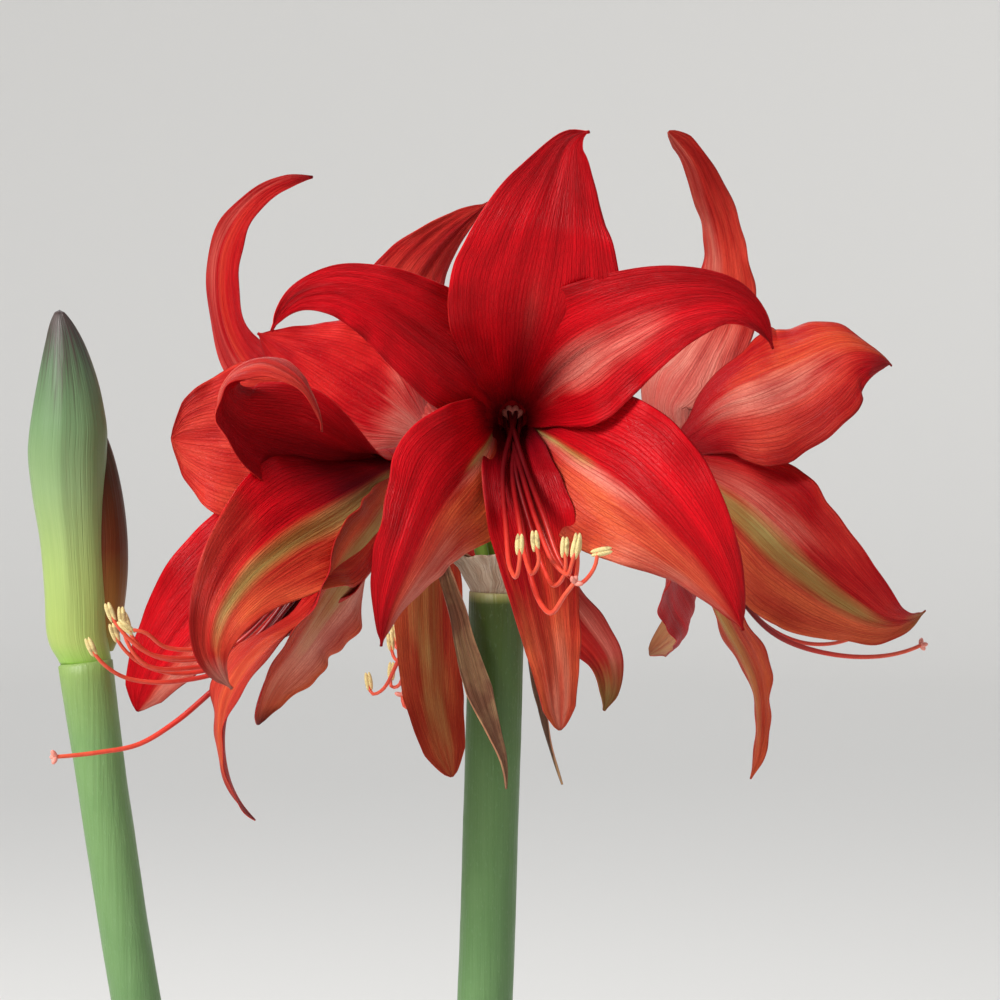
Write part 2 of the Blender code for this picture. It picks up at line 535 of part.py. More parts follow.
def stamens(name):
    """Six filaments with anthers and a style with its stigma, fused at their foot."""
    bloom = BLOOMS[name]
    axis = unit(bloom["facing"])
    throat = np.array(bloom["throat"], float)
    foot = throat - axis * (TUBE_LENGTH * 0.5 - 0.5)
    disc = lathe(name + "_foot", [(0, 0), (3.7, 0), (3.9, 1.2), (0, 1.2)], 12, local_to_world(foot), axis)
    pieces = []
    for k, points in enumerate(STAMENS[name]):
        is_style = k == len(STAMENS[name]) - 1
        radial, _ = clock_radial(bloom["facing"], 30 + 60 * k)
        ring = 0.0 if is_style else 2.6
        start = [foot + axis * 0.6 + radial * ring, foot + axis * 5 + radial * ring,
                 throat + axis * 2 + radial * (ring * 0.9) + (np.array(points[0]) - throat) * 0.12]
        end = np.array(points[-1], float) - np.array(points[-2], float)
        radius = FILAMENT_RADIUS * (1.15 if is_style else 1.0)
        pieces.append(sweep(f"{name}_filament_{k}", start + [np.array(p, float) for p in points],
                            [radius, radius, radius * 0.85], 4, 5 + len(points), SCAPE_TOP, radial))
        tip = np.array(points[-1], float)
        if is_style:
            for turn in range(3):
                lobe = unit(np.cross(end, (0.3, 0.2, 1)))
                other = np.cross(unit(end), lobe)
                way = math.cos(turn * 2.094) * lobe + math.sin(turn * 2.094) * other
                pieces.append(ball(f"{name}_stigma_{turn}", local_to_world(tip + way * 1.0 + unit(end) * 0.3),
                                   (1.0, 1.6), way + 0.4 * unit(end)))
        else:
            lean = (1, 0, 0.2) if (name == "front" and k == 5) else unit(end) + np.array([0.05, 0, 0.6])
            pieces.append(ball(f"{name}_anther_{k}", local_to_world(tip + unit(lean) * 1.2), (1.35, 3.2), lean))
    return combined(disc, pieces, 'UNION')


def flower_stalks():
    """The four green stalks with their ovaries, fused on a small disc."""
    disc = lathe("stalks", [(0, 0.5), (6.6, 0.5), (6.9, 1.6), (6.2, 2.6), (0, 2.8)], 16, SCAPE_TOP)
    pieces = []
    for name, points in STALKS.items():
        bloom = BLOOMS[name]
        axis = unit(bloom["facing"])
        base = np.array(bloom["throat"], float) - axis * (TUBE_LENGTH + GAP)
        bend = base - axis * 15 + np.array([0, 0, 1.5])
        path = [np.array(p, float) for p in points] + [bend, base - axis * 9]
        path[0] = path[0] + np.array([0, 0, 0.8])
        pieces.append(sweep(name + "_stalk", path, [STALK_RADIUS] * 3, 7, 11, SCAPE_TOP))
        pieces.append(lathe(name + "_ovary", [
            (0, -11.5), (2.2, -11), (3.9, -8.5), (OVARY_RADIUS, -5), (3.9, -1.8), (3.0, 0), (0, 0)],
            8, local_to_world(base), axis))
    return combined(disc, pieces, 'UNION')


def spathe_bracts():
    """The papery collar round the flower stalks and the two dried bracts on it."""
    collar = lathe("collar", [(7.7, 0.6), (8.7, 0.6), (9.3, 3), (9.2, 6.2), (8.3, 6.4), (8.0, 3.2), (7.7, 0.6)],
                   20, SCAPE_TOP)
    strips = [blade(f"bract_{k}", bract_surface(bract, 13, 3), BRACT_THICKNESS) for k, bract in enumerate(BRACTS)]
    return combined(collar, strips, 'UNION')


def pot():
    rim_foot = POT_HEIGHT - RIM_HEIGHT
    body_top = POT_TOP_RADIUS - RIM_STEP
    inner_top = POT_TOP_RADIUS - POT_WALL - 1.5
    return lathe("pot", [
        (0, 0), (POT_BASE_RADIUS - 2, 0), (POT_BASE_RADIUS, 1.6), (body_top, rim_foot - 1.5),
        (body_top + 0.6, rim_foot), (POT_TOP_RADIUS - 1, rim_foot + 0.6), (POT_TOP_RADIUS - 0.3, rim_foot + 2.2),
        (POT_TOP_RADIUS, POT_HEIGHT - 2), (POT_TOP_RADIUS - 1.6, POT_HEIGHT), (inner_top + 1.4, POT_HEIGHT),
        (inner_top, POT_HEIGHT - 1.6), (pot_inner_radius(POT_FLOOR + 3), POT_FLOOR + 3),
        (pot_inner_radius(POT_FLOOR) - 3, POT_FLOOR), (0, POT_FLOOR)], ROUND_SIDES)


def pot_inner_radius(height):
    """Radius of the pot's inner wall at a height."""
    low = POT_BASE_RADIUS - POT_WALL + 1.0
    high = POT_TOP_RADIUS - POT_WALL - 1.5
    return low + (high - low) * (height - POT_FLOOR) / (POT_HEIGHT - 1.6 - POT_FLOOR)


# Bulb outline: height and radius; above the shoulder it flattens to its neck.
BULB_PROFILE = [(BULB_BOTTOM, 16), (BULB_BOTTOM + 5, 28), (BULB_BOTTOM + 16, 39), (BULB_BOTTOM + 32, 44.4),
                (BULB_BOTTOM + 46, BULB_RADIUS), (BULB_BOTTOM + 58, 43.5), (BULB_BOTTOM + 70, 40),
                (BULB_BOTTOM + 81, 36), (NECK_HEIGHT - 8, NECK_RADIUS + 0.5), (NECK_HEIGHT - 1.5, NECK_RADIUS),
                (NECK_HEIGHT, NECK_RADIUS - 1.5)]


def bulb():
    """The bulb, with a plain hole in its neck for each scape."""
    profile = [(0, BULB_BOTTOM)] + [(r, z) for z, r in BULB_PROFILE] + [(0, NECK_HEIGHT)]
    squash = [1.0 + (NECK_FLATNESS - 1.0) * min(1, max(0, (z - 128) / 30)) for _, z in profile]
    body = lathe("bulb", profile, ROUND_SIDES, flatness=squash)
    holes = [hole_for(SCAPE_PATH, SCAPE_RADIUS), hole_for(BUD_SCAPE_PATH, BUD_SCAPE_RADIUS + 0.6)]
    return combined(body, holes, 'DIFFERENCE')


def hole_for(points, radius):
    """A cutter that follows the foot of a scape with a gap all round."""
    path, _ = smooth_path(points, 60)
    foot = [p for p in path if p[2] < NECK_HEIGHT + 22]
    start = foot[0] - unit(foot[1] - foot[0]) * GAP
    return sweep("hole", [start] + foot[2::2], [radius + 1.5 * GAP] * 2, SCAPE_SIDES, 7, first=(0.1, 1, 0))


def soil():
    """Potting soil, filling the pot round the bulb."""
    low = POT_FLOOR + GAP
    outer = [(pot_inner_radius(low + 3) - GAP - 3.2, low), (pot_inner_radius(low + 3) - GAP, low + 3)]
    top = SOIL_LEVEL
    outer += [(pot_inner_radius(z) - GAP, z) for z in (45, 85, top - 3)]
    bed = [(r + GAP, z - GAP) for z, r in BULB_PROFILE if z < top - 6]
    surface = [(62, top - 1), (56, top + 0.6), (50, top + 1.4), (BULB_RADIUS + GAP + 0.3, top + 0.6)]
    return lathe("soil", [(0, low)] + outer + surface + bed[::-1] + [(0, BULB_BOTTOM - GAP)], ROUND_SIDES)


def valve(name, table, y, grow=0.0, sides=16):
    """A bud valve through flattened rings."""
    rings = []
    for height, middle, half in table:
        rings.append(placed([(middle + (half + grow) * math.cos(a), y + BUD_DEPTH * (half + grow) * math.sin(a),
                              height) for a in (2 * math.pi * j / sides for j in range(sides))]))
    return rings_object(name, rings)


def bud_valves():
    """The green front valve, and the brown back valve hollowed to clear it."""
    front = valve("bud_front", FRONT_VALVE, BUD_Y)
    cutter = valve("cutter", FRONT_VALVE, BUD_Y, GAP)
    back = combined(valve("bud_back", BACK_VALVE, BACK_VALVE_Y), [cutter], 'DIFFERENCE')
    return front, back


def main():
    for obj in list(bpy.data.objects):
        bpy.data.objects.remove(obj)

    finish(pot(), "pot", (0.56, 0.27, 0.16), 0.8)
    finish(soil(), "soil", (0.055, 0.035, 0.024), 0.95)
    finish(bulb(), "bulb", (0.36, 0.19, 0.09), 0.6)
    finish(sweep("scape", SCAPE_PATH, [SCAPE_RADIUS] * 3, SCAPE_SIDES, 9), "scape_main", (0.16, 0.33, 0.12), 0.5)
    finish(sweep("bud_scape", BUD_SCAPE_PATH, [BUD_SCAPE_RADIUS + 0.6, BUD_SCAPE_RADIUS, BUD_SCAPE_RADIUS],
                 SCAPE_SIDES, 11), "scape_bud", (0.22, 0.42, 0.16), 0.5)
    front, back = bud_valves()
    finish(front, "bud_front_valve", (0.30, 0.46, 0.17), 0.45)
    finish(back, "bud_back_valve", (0.25, 0.09, 0.05), 0.5)
    finish(flower_stalks(), "flower_stalks", (0.30, 0.45, 0.14), 0.5)
    finish(spathe_bracts(), "spathe_bracts", (0.33, 0.18, 0.12), 0.8)
    for name in BLOOMS:
        finish(perianth(name), "bloom_" + name, (0.62, 0.02, 0.02), 0.45)
        finish(stamens(name), "stamens_" + name, (0.80, 0.16, 0.10), 0.5)


main()
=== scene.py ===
"""Looks of an amaryllis in a pot: four open red blooms and a bud on two scapes.

Lengths in the tables are millimetres.  The umbel's tables are measured from the
top of the main scape, as in the part's source; everything else is measured from
the middle of the pot's foot.  The front bloom faces -Y.
"""

from __future__ import annotations

import logging
import math
from collections.abc import Callable, Sequence
from dataclasses import dataclass, field
from enum import Enum

import bmesh
import bpy
import numpy as np
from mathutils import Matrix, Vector


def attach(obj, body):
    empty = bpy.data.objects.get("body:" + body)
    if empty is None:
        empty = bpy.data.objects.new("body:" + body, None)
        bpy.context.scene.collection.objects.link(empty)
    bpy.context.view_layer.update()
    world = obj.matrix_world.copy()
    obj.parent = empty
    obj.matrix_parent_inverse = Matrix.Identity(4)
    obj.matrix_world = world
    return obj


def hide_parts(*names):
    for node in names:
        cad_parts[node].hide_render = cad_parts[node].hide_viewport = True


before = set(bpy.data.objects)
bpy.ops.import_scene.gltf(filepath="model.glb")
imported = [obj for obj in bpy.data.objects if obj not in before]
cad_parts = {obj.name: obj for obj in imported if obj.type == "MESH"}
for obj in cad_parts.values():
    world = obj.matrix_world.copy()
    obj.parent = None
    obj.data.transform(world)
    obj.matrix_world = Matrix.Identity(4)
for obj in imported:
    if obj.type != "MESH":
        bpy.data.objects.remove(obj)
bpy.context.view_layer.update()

MM = 0.001
SCAPE_TOP = np.array((34.0, 0.0, 538.0))
ORIGIN = np.zeros(3)
BODY = "root"
LOG = logging.getLogger("amaryllis")

Point = Sequence[float]
Colour = tuple[float, float, float]
Stops = tuple[tuple[float, Colour], ...]
Marks = dict[str, np.ndarray]
Faces = list[tuple[int, ...]]
Piece = bpy.types.Object
Tree = bpy.types.NodeTree
Socket = bpy.types.NodeSocket
Outputs = dict[str, Socket]


# ---- curves -----------------------------------------------------------------
def unit(vector: Point) -> np.ndarray:
    """A vector's direction, of length one."""
    array = np.asarray(vector, float)
    return array / np.linalg.norm(array)


def soft_box(value: np.ndarray, low: float, high: float, soft: float) -> np.ndarray:
    """A window that is one between two limits and fades smoothly past them.

    Args:
        value: Where to read the window.
        low: Lower limit.
        high: Upper limit.
        soft: Half the width of each fade.

    Returns:
        The window's height at each value, from 0 to 1.
    """
    rise = np.clip((value - low + soft) / (2 * soft), 0, 1)
    fall = np.clip((high + soft - value) / (2 * soft), 0, 1)
    return rise * rise * (3 - 2 * rise) * fall * fall * (3 - 2 * fall)


def smooth_path(points: Sequence[Point], count: int) -> tuple[np.ndarray, np.ndarray]:
    """A smooth curve through points, at even steps.

    Args:
        points: The points that the curve runs through.
        count: How many points to return.

    Returns:
        The curve's points, and where each given point lies as a share of its length.
    """
    given = np.asarray(points, float)
    chord = np.linalg.norm(np.diff(given, axis=0), axis=1) ** 0.5
    knots = np.concatenate([[0.0], np.cumsum(chord)])
    slopes = np.empty_like(given)
    before, after = chord[:-1, None], chord[1:, None]
    slopes[1:-1] = ((given[1:-1] - given[:-2]) / before * after
                    + (given[2:] - given[1:-1]) / after * before) / (before + after)
    slopes[0] = 2 * (given[1] - given[0]) / chord[0] - slopes[1]
    slopes[-1] = 2 * (given[-1] - given[-2]) / chord[-1] - slopes[-2]
    fine = np.linspace(0, knots[-1], 1200)
    index = np.clip(np.searchsorted(knots, fine, side="right") - 1, 0, len(chord) - 1)
    step = chord[index]
    u = (fine - knots[index]) / step
    curve = ((2 * u ** 3 - 3 * u ** 2 + 1)[:, None] * given[index]
             + ((u ** 3 - 2 * u ** 2 + u) * step)[:, None] * slopes[index]
             + (3 * u ** 2 - 2 * u ** 3)[:, None] * given[index + 1]
             + ((u ** 3 - u ** 2) * step)[:, None] * slopes[index + 1])
    run = np.concatenate([[0.0], np.cumsum(np.linalg.norm(np.diff(curve, axis=0), axis=1))])
    even = np.linspace(0, run[-1], count)
    path = np.stack([np.interp(even, run, curve[:, k]) for k in range(3)], axis=1)
    return path, np.interp(knots, fine, run) / run[-1]


def mirrored(vector: np.ndarray, way: np.ndarray) -> np.ndarray:
    """A vector mirrored in the plane square to a way."""
    return vector - 2 * (way @ vector) / (way @ way) * way


def carried_frames(path: np.ndarray, first_normal: Point) -> tuple[np.ndarray, np.ndarray]:
    """Tangents, and normals that turn no more than the path does.

    Args:
        path: Points along the path.
        first_normal: Roughly the normal at its start.

    Returns:
        The tangents and the normals.
    """
    tangents = np.gradient(path, axis=0)
    tangents /= np.linalg.norm(tangents, axis=1)[:, None]
    normals = np.empty_like(tangents)
    normals[0] = unit(first_normal - np.dot(first_normal, tangents[0]) * tangents[0])
    for i in range(len(path) - 1):
        step = path[i + 1] - path[i]
        normal = mirrored(normals[i], step)
        turn = tangents[i + 1] - mirrored(tangents[i], step)
        normals[i + 1] = mirrored(normal, turn) if turn @ turn > 1e-12 else normal
    return tangents, normals


def turned_frames(path: np.ndarray, at: np.ndarray, points: Sequence[Point], first_normal: Point,
                  first_station: float) -> tuple[np.ndarray, np.ndarray]:
    """Frames along a path whose normal meets the looks that points may carry.

    Args:
        path: Points along the path.
        at: Share of the length at which each given point lies.
        points: The given points; one of six numbers ends in the way its face looks.
        first_normal: The normal at the start.
        first_station: Share of the length up to which the first normal holds.

    Returns:
        The normals, and the sideways directions.
    """
    tangents, normals = carried_frames(path, first_normal)
    sides = np.cross(tangents, normals)
    stations, angles = [0.0, first_station], [0.0, 0.0]
    for share, point in zip(at, points):
        if len(point) == 6:
            i = int(round(share * (len(path) - 1)))
            look = np.array(point[3:], float)
            angle = math.degrees(math.atan2(look @ sides[i], look @ normals[i]))
            angle += 360 * round((angles[-1] - angle) / 360)
            stations.append(share)
            angles.append(angle)
    roll = np.radians(np.interp(np.linspace(0, 1, len(path)), stations, angles))
    reach = max(3, len(path) // 8)
    kernel = np.hanning(reach + 2)[1:-1]
    roll = np.convolve(np.pad(roll, reach, mode="edge"), kernel / kernel.sum(), mode="same")[reach:-reach]
    cos, sin = np.cos(roll)[:, None], np.sin(roll)[:, None]
    return cos * normals + sin * sides, cos * sides - sin * normals


def clock_radial(facing: Point, clock: float) -> tuple[np.ndarray, np.ndarray]:
    """The way away from a bloom's axis at a clock angle, and the axis.

    Args:
        facing: The way the bloom faces.
        clock: Degrees from straight up, clockwise as seen from its front.

    Returns:
        The two directions.
    """
    axis = unit(facing)
    up = unit(np.array([0, 0, 1.0]) - axis[2] * axis)
    angle = math.radians(clock)
    return math.cos(angle) * up + math.sin(angle) * np.cross(up, axis), axis


def swept(path: np.ndarray, sides: np.ndarray, normals: np.ndarray, across: np.ndarray,
          lift: np.ndarray) -> np.ndarray:
    """Points beside a path.

    Args:
        path: Points along it.
        sides: Its sideways directions.
        normals: Its normals.
        across: How far each point lies to the side, a row for each point of the path.
        lift: How far each is lifted towards the normal.

    Returns:
        The points, row by row.
    """
    return path[:, None, :] + across[..., None] * sides[:, None, :] + lift[..., None] * normals[:, None, :]


# ---- meshes -----------------------------------------------------------------
def mesh_piece(name: str, points: np.ndarray, faces: Sequence[Sequence[int]], offset: Point = ORIGIN,
               marks: Marks | None = None, edges: Sequence[Sequence[int]] = ()) -> Piece:
    """An object from points in millimetres, with what its material reads on each point.

    Args:
        name: The piece's name.
        points: Its points.
        faces: Its faces, as point numbers.
        offset: What is added to each point.
        marks: Named values, one a point, or one vector a point.
        edges: Edges, for a piece that has no faces yet.

    Returns:
        The object, at the origin.
    """
    mesh = bpy.data.meshes.new(name)
    placed = (np.asarray(points, float) + np.asarray(offset, float)) * MM
    mesh.from_pydata(placed.tolist(), list(edges), list(faces))
    for key, values in (marks or {}).items():
        array = np.asarray(values, np.float32)
        kind, slot = ("FLOAT_VECTOR", "vector") if array.ndim == 2 else ("FLOAT", "value")
        mesh.attributes.new(key, kind, "POINT").data.foreach_set(slot, array.ravel())
    mesh.shade_smooth()
    piece = bpy.data.objects.new(name, mesh)
    bpy.context.scene.collection.objects.link(piece)
    return piece


def face_outwards(piece: Piece) -> Piece:
    """Turns the faces of a closed piece outwards.

    Args:
        piece: The piece.

    Returns:
        The same piece.
    """
    shape = bmesh.new()
    shape.from_mesh(piece.data)
    bmesh.ops.recalc_face_normals(shape, faces=shape.faces)
    shape.to_mesh(piece.data)
    shape.free()
    return piece


def grid_faces(rows: int, columns: int, first: int = 0, closed: bool = False) -> Faces:
    """Quads over a grid of points.

    Args:
        rows: Points along.
        columns: Points across.
        first: Number of the grid's first point.
        closed: Whether the last column joins the first.

    Returns:
        The faces.
    """
    reach = columns if closed else columns - 1
    return [(first + i * columns + j, first + i * columns + (j + 1) % columns,
             first + (i + 1) * columns + (j + 1) % columns, first + (i + 1) * columns + j)
            for i in range(rows - 1) for j in range(reach)]


def grid_border(rows: int, columns: int) -> list[int]:
    """The numbers of a grid's border points, once round."""
    return (list(range(columns)) + [i * columns + columns - 1 for i in range(1, rows)]
            + [(rows - 1) * columns + j for j in range(columns - 2, -1, -1)]
            + [i * columns for i in range(rows - 2, 0, -1)])


def round_angles(sides: int) -> np.ndarray:
    """Even angles once round, in radians."""
    return np.linspace(0, 2 * np.pi, sides, endpoint=False)


def level_ring(radius: float | np.ndarray, height: float | np.ndarray, turn: np.ndarray,
               flatness: float = 1.0) -> np.ndarray:
    """A ring of points round the upright axis.

    Args:
        radius: Its radius, one for all points or one each.
        height: Its height, one for all points or one each.
        turn: The points' angles.
        flatness: How much it is squeezed along Y.

    Returns:
        The points.
    """
    return np.stack([radius * np.cos(turn), radius * np.sin(turn) * flatness,
                     np.broadcast_to(height, turn.shape)], axis=1)


def ring_body(rings: Sequence[np.ndarray], ends: Sequence[Point]) -> tuple[np.ndarray, Faces]:
    """A closed body through rings of points.

    Args:
        rings: The rings, from one end to the other.
        ends: The middle point of each end.

    Returns:
        Its points and faces.
    """
    sides = len(rings[0])
    count = len(rings) * sides
    last = count - sides
    faces = grid_faces(len(rings), sides, closed=True)
    faces += [(j, (j + 1) % sides, count) for j in range(sides)]
    faces += [(last + j, last + (j + 1) % sides, count + 1) for j in range(sides)]
    return np.concatenate([*rings, ends]), faces


def ring_marks(rows: int, across: np.ndarray, lot: float = 0.0) -> Marks:
    """The marks of a body made of rings.

    Args:
        rows: How many rings it has.
        across: The mark across, once round a ring.
        lot: The body's number.

    Returns:
        The marks along, across and lot, the two end points last.
    """
    along = np.concatenate([np.repeat(np.linspace(0, 1, rows), len(across)), [0, 1]])
    return {"along": along, "across": np.concatenate([np.tile(across, rows), [0, 0]]), "lot": np.full(len(along), lot)}


@dataclass
class Sheets:
    """Thin closed blades gathered into one mesh, inner face first."""

    points: list[np.ndarray] = field(default_factory=list)
    faces: Faces = field(default_factory=list)
    marks: dict[str, list[np.ndarray]] = field(default_factory=dict)
    count: int = 0

    def add(self, surface: np.ndarray, thickness: np.ndarray, inner: Marks, outer: Marks) -> None:
        """Adds one blade round a middle surface.

        Args:
            surface: Points of the middle surface, row by row.
            thickness: Thickness at each of them.
            inner: Marks of the face towards the surface's normal.
            outer: Marks of the other face.
        """
        rows, columns, _ = surface.shape
        normals = np.cross(np.gradient(surface, axis=1), np.gradient(surface, axis=0))
        normals /= np.linalg.norm(normals, axis=2)[..., None]
        push = normals * thickness[..., None] / 2
        self.points += [(surface + push).reshape(-1, 3), (surface - push).reshape(-1, 3)]
        size = rows * columns
        self.faces += grid_faces(rows, columns, self.count)
        self.faces += [face[::-1] for face in grid_faces(rows, columns, self.count + size)]
        ring = [self.count + k for k in grid_border(rows, columns)]
        self.faces += [(b, a, a + size, b + size) for a, b in zip(ring, ring[1:] + ring[:1])]
        for key in inner:
            self.marks.setdefault(key, []).extend([inner[key].ravel(), outer[key].ravel()])
        self.count += 2 * size

    def piece(self, name: str, offset: Point) -> Piece:
        """The blades as one object."""
        marks = {key: np.concatenate(values) for key, values in self.marks.items()}
        return mesh_piece(name, np.concatenate(self.points), self.faces, offset, marks)


def lines_piece(name: str, paths: Sequence[tuple[np.ndarray, np.ndarray]], offset: Point) -> Piece:
    """Open lines with a radius, a share of their length and a number of their own on each point.

    Args:
        name: The object's name.
        paths: Points and radii of each line, in millimetres.
        offset: What is added to each point.

    Returns:
        An object of edges, which a node tree makes round.
    """
    points, edges, radius, along, lot = [], [], [], [], []
    count = 0
    for k, (path, radii) in enumerate(paths):
        points.append(path)
        edges += [(count + i, count + i + 1) for i in range(len(path) - 1)]
        radius.append(np.broadcast_to(radii, len(path)) * MM)
        along.append(np.linspace(0, 1, len(path)))
        lot.append(np.full(len(path), 3.7 * k))
        count += len(path)
    marks = {"bar_radius": np.concatenate(radius), "along": np.concatenate(along), "lot": np.concatenate(lot)}
    return mesh_piece(name, np.concatenate(points), [], offset, marks, edges)


def leaning_spots(name: str, spots: Sequence[np.ndarray], leans: Sequence[np.ndarray]) -> Piece:
    """Loose points on the umbel, each with the way that its lobes lean."""
    return mesh_piece(name, np.array(spots), [], SCAPE_TOP, {"lean": np.array(leans)})


# ---- node trees -------------------------------------------------------------
class Graph:
    """One node tree, filled a node at a time."""

    def __init__(self, tree: Tree) -> None:
        """Starts on an existing tree."""
        self.tree = tree

    def add(self, kind: str, inputs: dict[int | str, object] | None = None, **settings: object) -> bpy.types.Node:
        """Adds a node.

        Args:
            kind: Blender's name of the node type.
            inputs: A value or another node's output for each input, by name or place.
            settings: The node's own properties.

        Returns:
            The node.
        """
        node = self.tree.nodes.new(kind)
        for key, value in settings.items():
            setattr(node, key, value)
        for key, value in (inputs or {}).items():
            if isinstance(value, Socket):
                self.tree.links.new(value, node.inputs[key])
            else:
                node.inputs[key].default_value = value
        return node

    def out(self, kind: str, inputs: dict[int | str, object] | None = None, **settings: object) -> Socket:
        """The first output of a new node, with the arguments of add."""
        return self.add(kind, inputs, **settings).outputs[0]

    def math(self, operation: str, a: object, b: object = 0.0, clamp: bool = False) -> Socket:
        """The result of one sum on two values."""
        return self.out("ShaderNodeMath", {0: a, 1: b}, operation=operation, use_clamp=clamp)

    def times(self, a: object, b: object) -> Socket:
        """One value times another."""
        return self.math("MULTIPLY", a, b)

    def plus(self, a: object, b: object) -> Socket:
        """One value plus another."""
        return self.math("ADD", a, b)

    def minus(self, a: object, b: object) -> Socket:
        """One value less another."""
        return self.math("SUBTRACT", a, b)

    def greater(self, a: object, b: object) -> Socket:
        """The greater of two values."""
        return self.math("MAXIMUM", a, b)

    def scaled(self, vector: object, factor: object) -> Socket:
        """A vector times a value."""
        return self.out("ShaderNodeVectorMath", {0: vector, 3: factor}, operation="SCALE")

    def spread(self, value: object, low: object, high: object, to_low: object = 0.0,
               to_high: object = 1.0) -> Socket:
        """A value moved smoothly from one range to another, and held inside it."""
        return self.out("ShaderNodeMapRange", {0: value, 1: low, 2: high, 3: to_low, 4: to_high},
                        interpolation_type="SMOOTHSTEP")

    def mix(self, share: object, a: object, b: object, blend: str = "MIX") -> Socket:
        """Two colours mixed by a share; a colour may be three numbers."""
        a, b = (value if isinstance(value, Socket) else (*value, 1.0) for value in (a, b))
        return self.add("ShaderNodeMix", {0: share, 6: a, 7: b}, data_type="RGBA", blend_type=blend).outputs[2]

    def vector(self, x: object, y: object, z: object = 0.0) -> Socket:
        """Three values as one vector."""
        return self.out("ShaderNodeCombineXYZ", {0: x, 1: y, 2: z})

    def noise(self, vector: object, scale: object, detail: float = 2.0, rough: float = 0.5) -> Socket:
        """Cloudy noise from about 0.2 to 0.8."""
        return self.out("ShaderNodeTexNoise", {"Vector": vector, "Scale": scale, "Detail": detail,
                                               "Roughness": rough})

    def stretched(self, place: object, level: float, upright: float) -> Socket:
        """A place scaled one way in the level and another way up and down."""
        return self.out("ShaderNodeMapping", {0: place, 3: (level, level, upright)})

    def height(self, place: object) -> Socket:
        """How high a place lies."""
        return self.add("ShaderNodeSeparateXYZ", {0: place}).outputs[2]

    def mark(self, name: str) -> Socket:
        """A value that the mesh carries on its points."""
        return self.add("ShaderNodeAttribute", attribute_name=name).outputs["Fac"]

    def blade(self) -> Outputs:
        """Where a blade's points lie on it: across, along, and the blade's number."""
        return {key: self.mark(key.lower()) for key in ("Across", "Along", "Lot")}

    def place(self) -> Socket:
        """The spot on the object, in metres."""
        return self.add("ShaderNodeTexCoord").outputs["Object"]

    def ramp(self, value: object, stops: Stops) -> Socket:
        """A colour that runs through stops.

        Args:
            value: Where along the stops.
            stops: Place and colour of each.

        Returns:
            The colour.
        """
        node = self.add("ShaderNodeValToRGB", {0: value})
        elements = node.color_ramp.elements
        while len(elements) < len(stops):
            elements.new(0.5)
        for element, (place, _) in zip(elements, stops):
            element.position = place
        for element, (_, colour) in zip(elements, stops):
            element.color = (*colour, 1.0)
        return node.outputs[0]

    def group(self, tree: Tree, inputs: dict[str, object]) -> Outputs:
        """What a shared effect gives, placed with values of its own."""
        return self.add("ShaderNodeGroup", inputs, node_tree=tree).outputs


def floats(**values: float) -> dict[str, tuple[str, float]]:
    """Number inputs of a node tree by name, with their first values."""
    return {key: ("NodeSocketFloat", value) for key, value in values.items()}


def effect(name: str, inputs: dict[str, tuple[str, float | None]],
           fill: Callable[[Graph, Outputs], Outputs]) -> Tree:
    """A shader node group that several materials share.

    Args:
        name: The group's name.
        inputs: Socket kind and first value of each input.
        fill: Builds the nodes and returns what each output gives.

    Returns:
        The group.
    """
    if name in bpy.data.node_groups:
        return bpy.data.node_groups[name]
    tree = bpy.data.node_groups.new(name, "ShaderNodeTree")
    for key, (kind, value) in inputs.items():
        socket = tree.interface.new_socket(key, in_out="INPUT", socket_type=kind)
        if value is not None:
            socket.default_value = value
    graph = Graph(tree)
    start = graph.add("NodeGroupInput")
    made = fill(graph, {key: start.outputs[key] for key in inputs})
    for key in made:
        tree.interface.new_socket(key, in_out="OUTPUT", socket_type="NodeSocketFloat")
    graph.add("NodeGroupOutput", dict(made))
    return tree


def fibre_effect() -> Tree:
    """Long veins and streaks that run along a blade or a stem."""
    def fill(graph: Graph, given: Outputs) -> Outputs:
        """Builds the nodes."""
        across, along, lot = given["Across"], given["Along"], given["Lot"]
        sway = graph.noise(graph.vector(graph.times(across, 1.6), graph.times(along, 2.4), lot), 1.0, 2.0)
        bent = graph.plus(across, graph.times(graph.minus(sway, 0.5), given["Wander"]))
        wide = graph.times(bent, given["Count"])
        long = graph.times(along, given["Breaks"])
        streak = graph.noise(graph.vector(wide, long, lot), 1.0, 3.0, 0.6)
        spot = graph.vector(graph.times(wide, 3.1), graph.times(long, 2.3), graph.plus(lot, 5.0))
        fine = graph.noise(spot, 1.0, 2.0, 0.6)
        ripple = graph.math("PINGPONG", wide, 0.5)
        line = graph.times(graph.spread(ripple, 0.0, 0.17, 1.0, 0.0), graph.spread(fine, 0.3, 0.6))
        return {"Streak": graph.spread(streak, 0.28, 0.72), "Fine": graph.spread(fine, 0.3, 0.7), "Line": line}
    return effect("fibres", floats(Across=0.0, Along=0.0, Lot=0.0, Count=12.0, Breaks=3.0, Wander=0.15), fill)


def net_effect() -> Tree:
    """A fine net of cells, as between a tepal's veins."""
    def fill(graph: Graph, given: Outputs) -> Outputs:
        """Builds the nodes."""
        spot = graph.vector(graph.times(given["Across"], given["Cells"]), graph.times(given["Along"], given["Rows"]),
                            given["Lot"])
        cells = graph.add("ShaderNodeTexVoronoi", {"Vector": spot, "Scale": 1.0}, feature="DISTANCE_TO_EDGE")
        return {"Net": graph.spread(cells.outputs["Distance"], 0.0, 0.16, 1.0, 0.0)}
    return effect("net", floats(Across=0.0, Along=0.0, Lot=0.0, Cells=20.0, Rows=30.0), fill)


